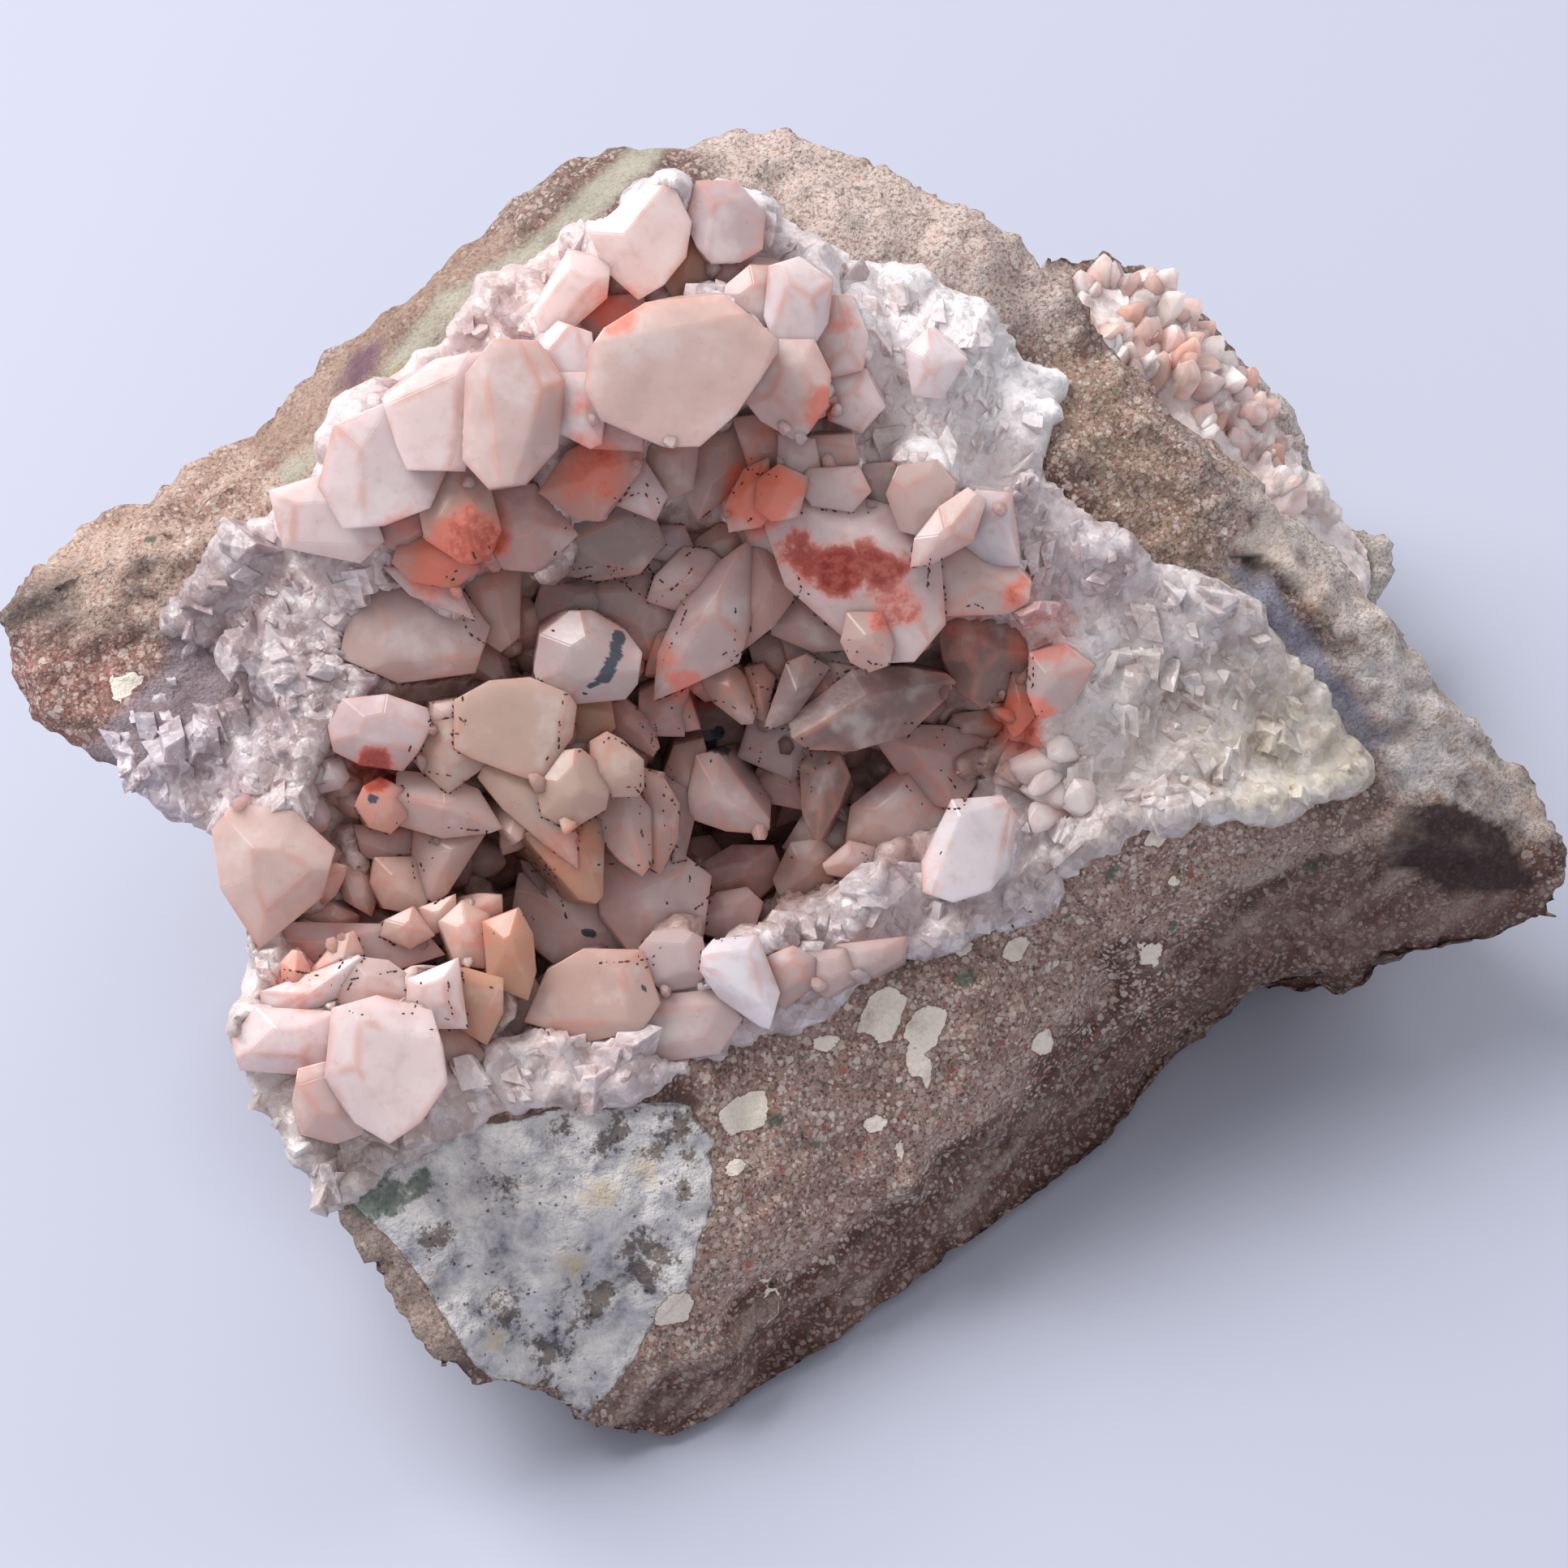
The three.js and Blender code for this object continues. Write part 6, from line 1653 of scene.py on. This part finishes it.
class CALCITE_OT_blocks(bpy.types.Operator):
    """Scatter cleavage blocks over the broken calcite"""

    bl_idname = "calcite.blocks"
    bl_label = "Cleavage blocks"

    def execute(self, context):
        random = random_seed(23)
        tree = surface_of("broken")
        crystals = surface_of("large_crystals")
        masters = [cleavage_block(random) for _ in range(8)]
        wanted = context.scene.calcite_sizes.blocks
        spots = np.stack([random.uniform(-51, 41, wanted * 4), random.uniform(-30, 42, wanted * 4)], -1)
        ring = (edge_distance(spots, CALCITE_EDGE) < -0.6) & (edge_distance(spots, HOLLOW_EDGE) > 0.3)
        thin = edge_distance(from_front(np.insert(spots, 2, 6, 1)), WING) < 0.2
        parts = []
        for x, y in np.concatenate([spots[ring][:wanted], spots[thin]]):
            spot, normal = strike(tree, (x, y, 60), (0, 0, -1))
            if spot is None or normal.z < 0.1:
                continue
            here = np.array([spot])
            over, _ = strike(crystals, (x, y, 60), (0, 0, -1))
            if over is not None and over.z > spot.z:
                continue
            _, numbers, _ = chips(here, 6.0, 91)
            turn = numbers[0, :3] * 6.28 + random.normal(0, 0.2, 3)
            size = 0.8 + 2 * random.random() ** 3
            mesh = one_of(masters, random).copy()
            place = Matrix.Translation((spot - normal * size * 0.38) * MM)
            for angle, axis in zip(turn, "XYZ"):
                place = place @ Matrix.Rotation(float(angle), 4, axis)
            stretch = Matrix.Diagonal((size * 1.2, size, size * random.uniform(0.5, 1), 1))
            mesh.transform(MOUTH @ place @ stretch @ Matrix.Scale(MM, 4))
            rgb = crust_tone(here, here)[0] * random.uniform(0.98, 1.08)
            write_colour(mesh, "tone", np.clip(rgb, 0, 0.92))
            parts.append(new_object("block", mesh))
        blocks = joined("cleavage_blocks", parts)
        write_colour(blocks.data, "stain", stains_at(to_mouth(places(blocks.data))))
        dress(blocks, bpy.data.materials["broken_calcite"], "calcite")
        return {"FINISHED"}


class CALCITE_OT_back_pocket(bpy.types.Operator):
    """Build the lining and the crystals of the hollow on the back lobe"""

    bl_idname = "calcite.back_pocket"
    bl_label = "Back hollow"

    def execute(self, context):
        random = random_seed(29)
        sizes = context.scene.calcite_sizes
        lining = even_copy("back_calcite", "back_pocket_crystals", sizes.calcite_face / MM)
        points, out, height = crust_relief(lining.data)
        points = points + out * (height + 0.25)[:, None]
        put(lining.data, points)
        pale = 1 + 0.12 * ripple(points, 3, 82)
        write_colour(lining.data, "tone", np.clip(linear((244, 228, 224)) * pale[:, None], 0, 0.95))
        write_colour(lining.data, "marks", np.tile((0.3, 0.0, 0.0), (len(points), 1)))
        rust = np.clip(0.6 * ripple(points, 5.5, 83), 0, 1)
        write_colour(lining.data, "stain", np.stack([rust * 0.4, rust, rust * 0], -1))
        dress(lining, bpy.data.materials["broken_calcite"], "calcite", "back_pocket_crystals")
        tree = surface_of("back_calcite")
        low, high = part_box("back_pocket_crystals")
        masters = [crystal_mesh(1.7, "blunt", random) for _ in range(6)]
        meshes, crystals = [], []
        for _ in range(sizes.back_crystals):
            start = Vector([random.uniform(low[k], high[k]) for k in range(3)])
            start.z = high.z + 0.02
            start = start + Vector((0.004, 0.006, 0))
            hit, normal, _, _ = tree.ray_cast(start, Vector((-0.3, -0.2, -0.9)).normalized())
            if hit is None or normal.z < 0:
                continue
            width = random.uniform(1.4, 2.8)
            mesh = one_of(masters, random).copy()
            mesh.transform(Matrix.Diagonal((width, width, width * 0.85, 1)))
            aim = (normal + Vector((0.3, 0.2, 0.9)) + Vector(random.normal(0, 0.3, 3))).normalized()
            turn = aim.to_track_quat("Z", "Y").to_matrix().to_4x4()
            turn = turn @ Matrix.Rotation(random.uniform(0, 3), 4, "Z")
            root = hit / MM - aim * width * 0.8
            mesh.transform(Matrix.Scale(MM, 4) @ Matrix.Translation(root) @ turn)
            tone_layer(mesh, one_of(BACK_TONES, random), random)
            meshes.append(mesh)
            crystals.append((root, root + aim * width * 1.4, width))
        crystal_sets("back_crystals", meshes, crystals, bpy.data.materials["crystal_calcite"])
        return {"FINISHED"}


# Soft lamps: name, place in metres, size in metres and power in watts; and the room's air light.
LAMPS = [
    ("key", (-0.42, 0.2, 0.62), 0.45, 6.5),
    ("fill", (0.1, -0.6, 0.5), 0.7, 0.7),
    ("back", (0.5, 0.45, 0.5), 0.5, 1.7),
]
AIR_COLOUR = (0.93, 0.94, 1.0, 1)
AIR_STRENGTH = 0.39


class CALCITE_OT_stage(bpy.types.Operator):
    """Set the floor, the soft light and the camera"""

    bl_idname = "calcite.stage"
    bl_label = "Stage"

    def execute(self, context):
        colours = context.scene.calcite_colours
        bm = bmesh.new()
        bmesh.ops.create_grid(bm, x_segments=8, y_segments=8, size=3)
        floor = new_object("floor", mesh_of(bm, "floor"))
        floor.data.materials.append(floor_finish("pale_floor", tuple(colours.floor)))
        world = bpy.data.worlds.new("soft_room")
        context.scene.world = world
        world.use_nodes = True
        air = world.node_tree.nodes["Background"]
        air.inputs["Color"].default_value = AIR_COLOUR
        air.inputs["Strength"].default_value = AIR_STRENGTH
        for name, at, size, power in LAMPS:
            lamp = bpy.data.lights.new(name, "AREA")
            lamp.size = size
            lamp.energy = power
            lamp.color = colours.light
            made = bpy.data.objects.new(name, lamp)
            made.location = at
            made.rotation_euler = (Vector((0, 0, 0.03)) - Vector(at)).to_track_quat("-Z", "Y").to_euler()
            context.scene.collection.objects.link(made)
        lens = bpy.data.cameras.new("camera")
        lens.sensor_width = 36
        lens.lens = LENS
        lens.clip_start = 0.01
        camera = bpy.data.objects.new("camera", lens)
        camera.matrix_world = MOUTH @ Matrix.Translation(Vector(EYE) * MM)
        context.scene.collection.objects.link(camera)
        context.scene.camera = camera
        context.scene.view_settings.view_transform = "Standard"
        return {"FINISHED"}


STEPS = (
    CALCITE_OT_stage,
    CALCITE_OT_rock,
    CALCITE_OT_crust,
    CALCITE_OT_crystals,
    CALCITE_OT_grains,
    CALCITE_OT_small_crystals,
    CALCITE_OT_blocks,
    CALCITE_OT_back_pocket,
)


class CALCITE_PT_panel(bpy.types.Panel):
    """Lists the steps that build the specimen"""

    bl_label = "Calcite crystal pocket"
    bl_idname = "CALCITE_PT_panel"
    bl_space_type = "VIEW_3D"
    bl_region_type = "UI"
    bl_category = "Calcite"

    def draw(self, context):
        for group in (context.scene.calcite_sizes, context.scene.calcite_colours):
            for key in group.__annotations__:
                self.layout.prop(group, key)
        for step in STEPS:
            self.layout.operator(step.bl_idname)


CLASSES = (CalciteSizes, CalciteColours, *STEPS, CALCITE_PT_panel)


def register():
    for cls in CLASSES:
        bpy.utils.register_class(cls)
    bpy.types.Scene.calcite_sizes = PointerProperty(type=CalciteSizes)
    bpy.types.Scene.calcite_colours = PointerProperty(type=CalciteColours)


def unregister():
    del bpy.types.Scene.calcite_colours
    del bpy.types.Scene.calcite_sizes
    for cls in reversed(CLASSES):
        bpy.utils.unregister_class(cls)


def main():
    register()
    for step in STEPS:
        group, name = step.bl_idname.split(".")
        getattr(getattr(bpy.ops, group), name)()


if __name__ == "__main__":
    main()
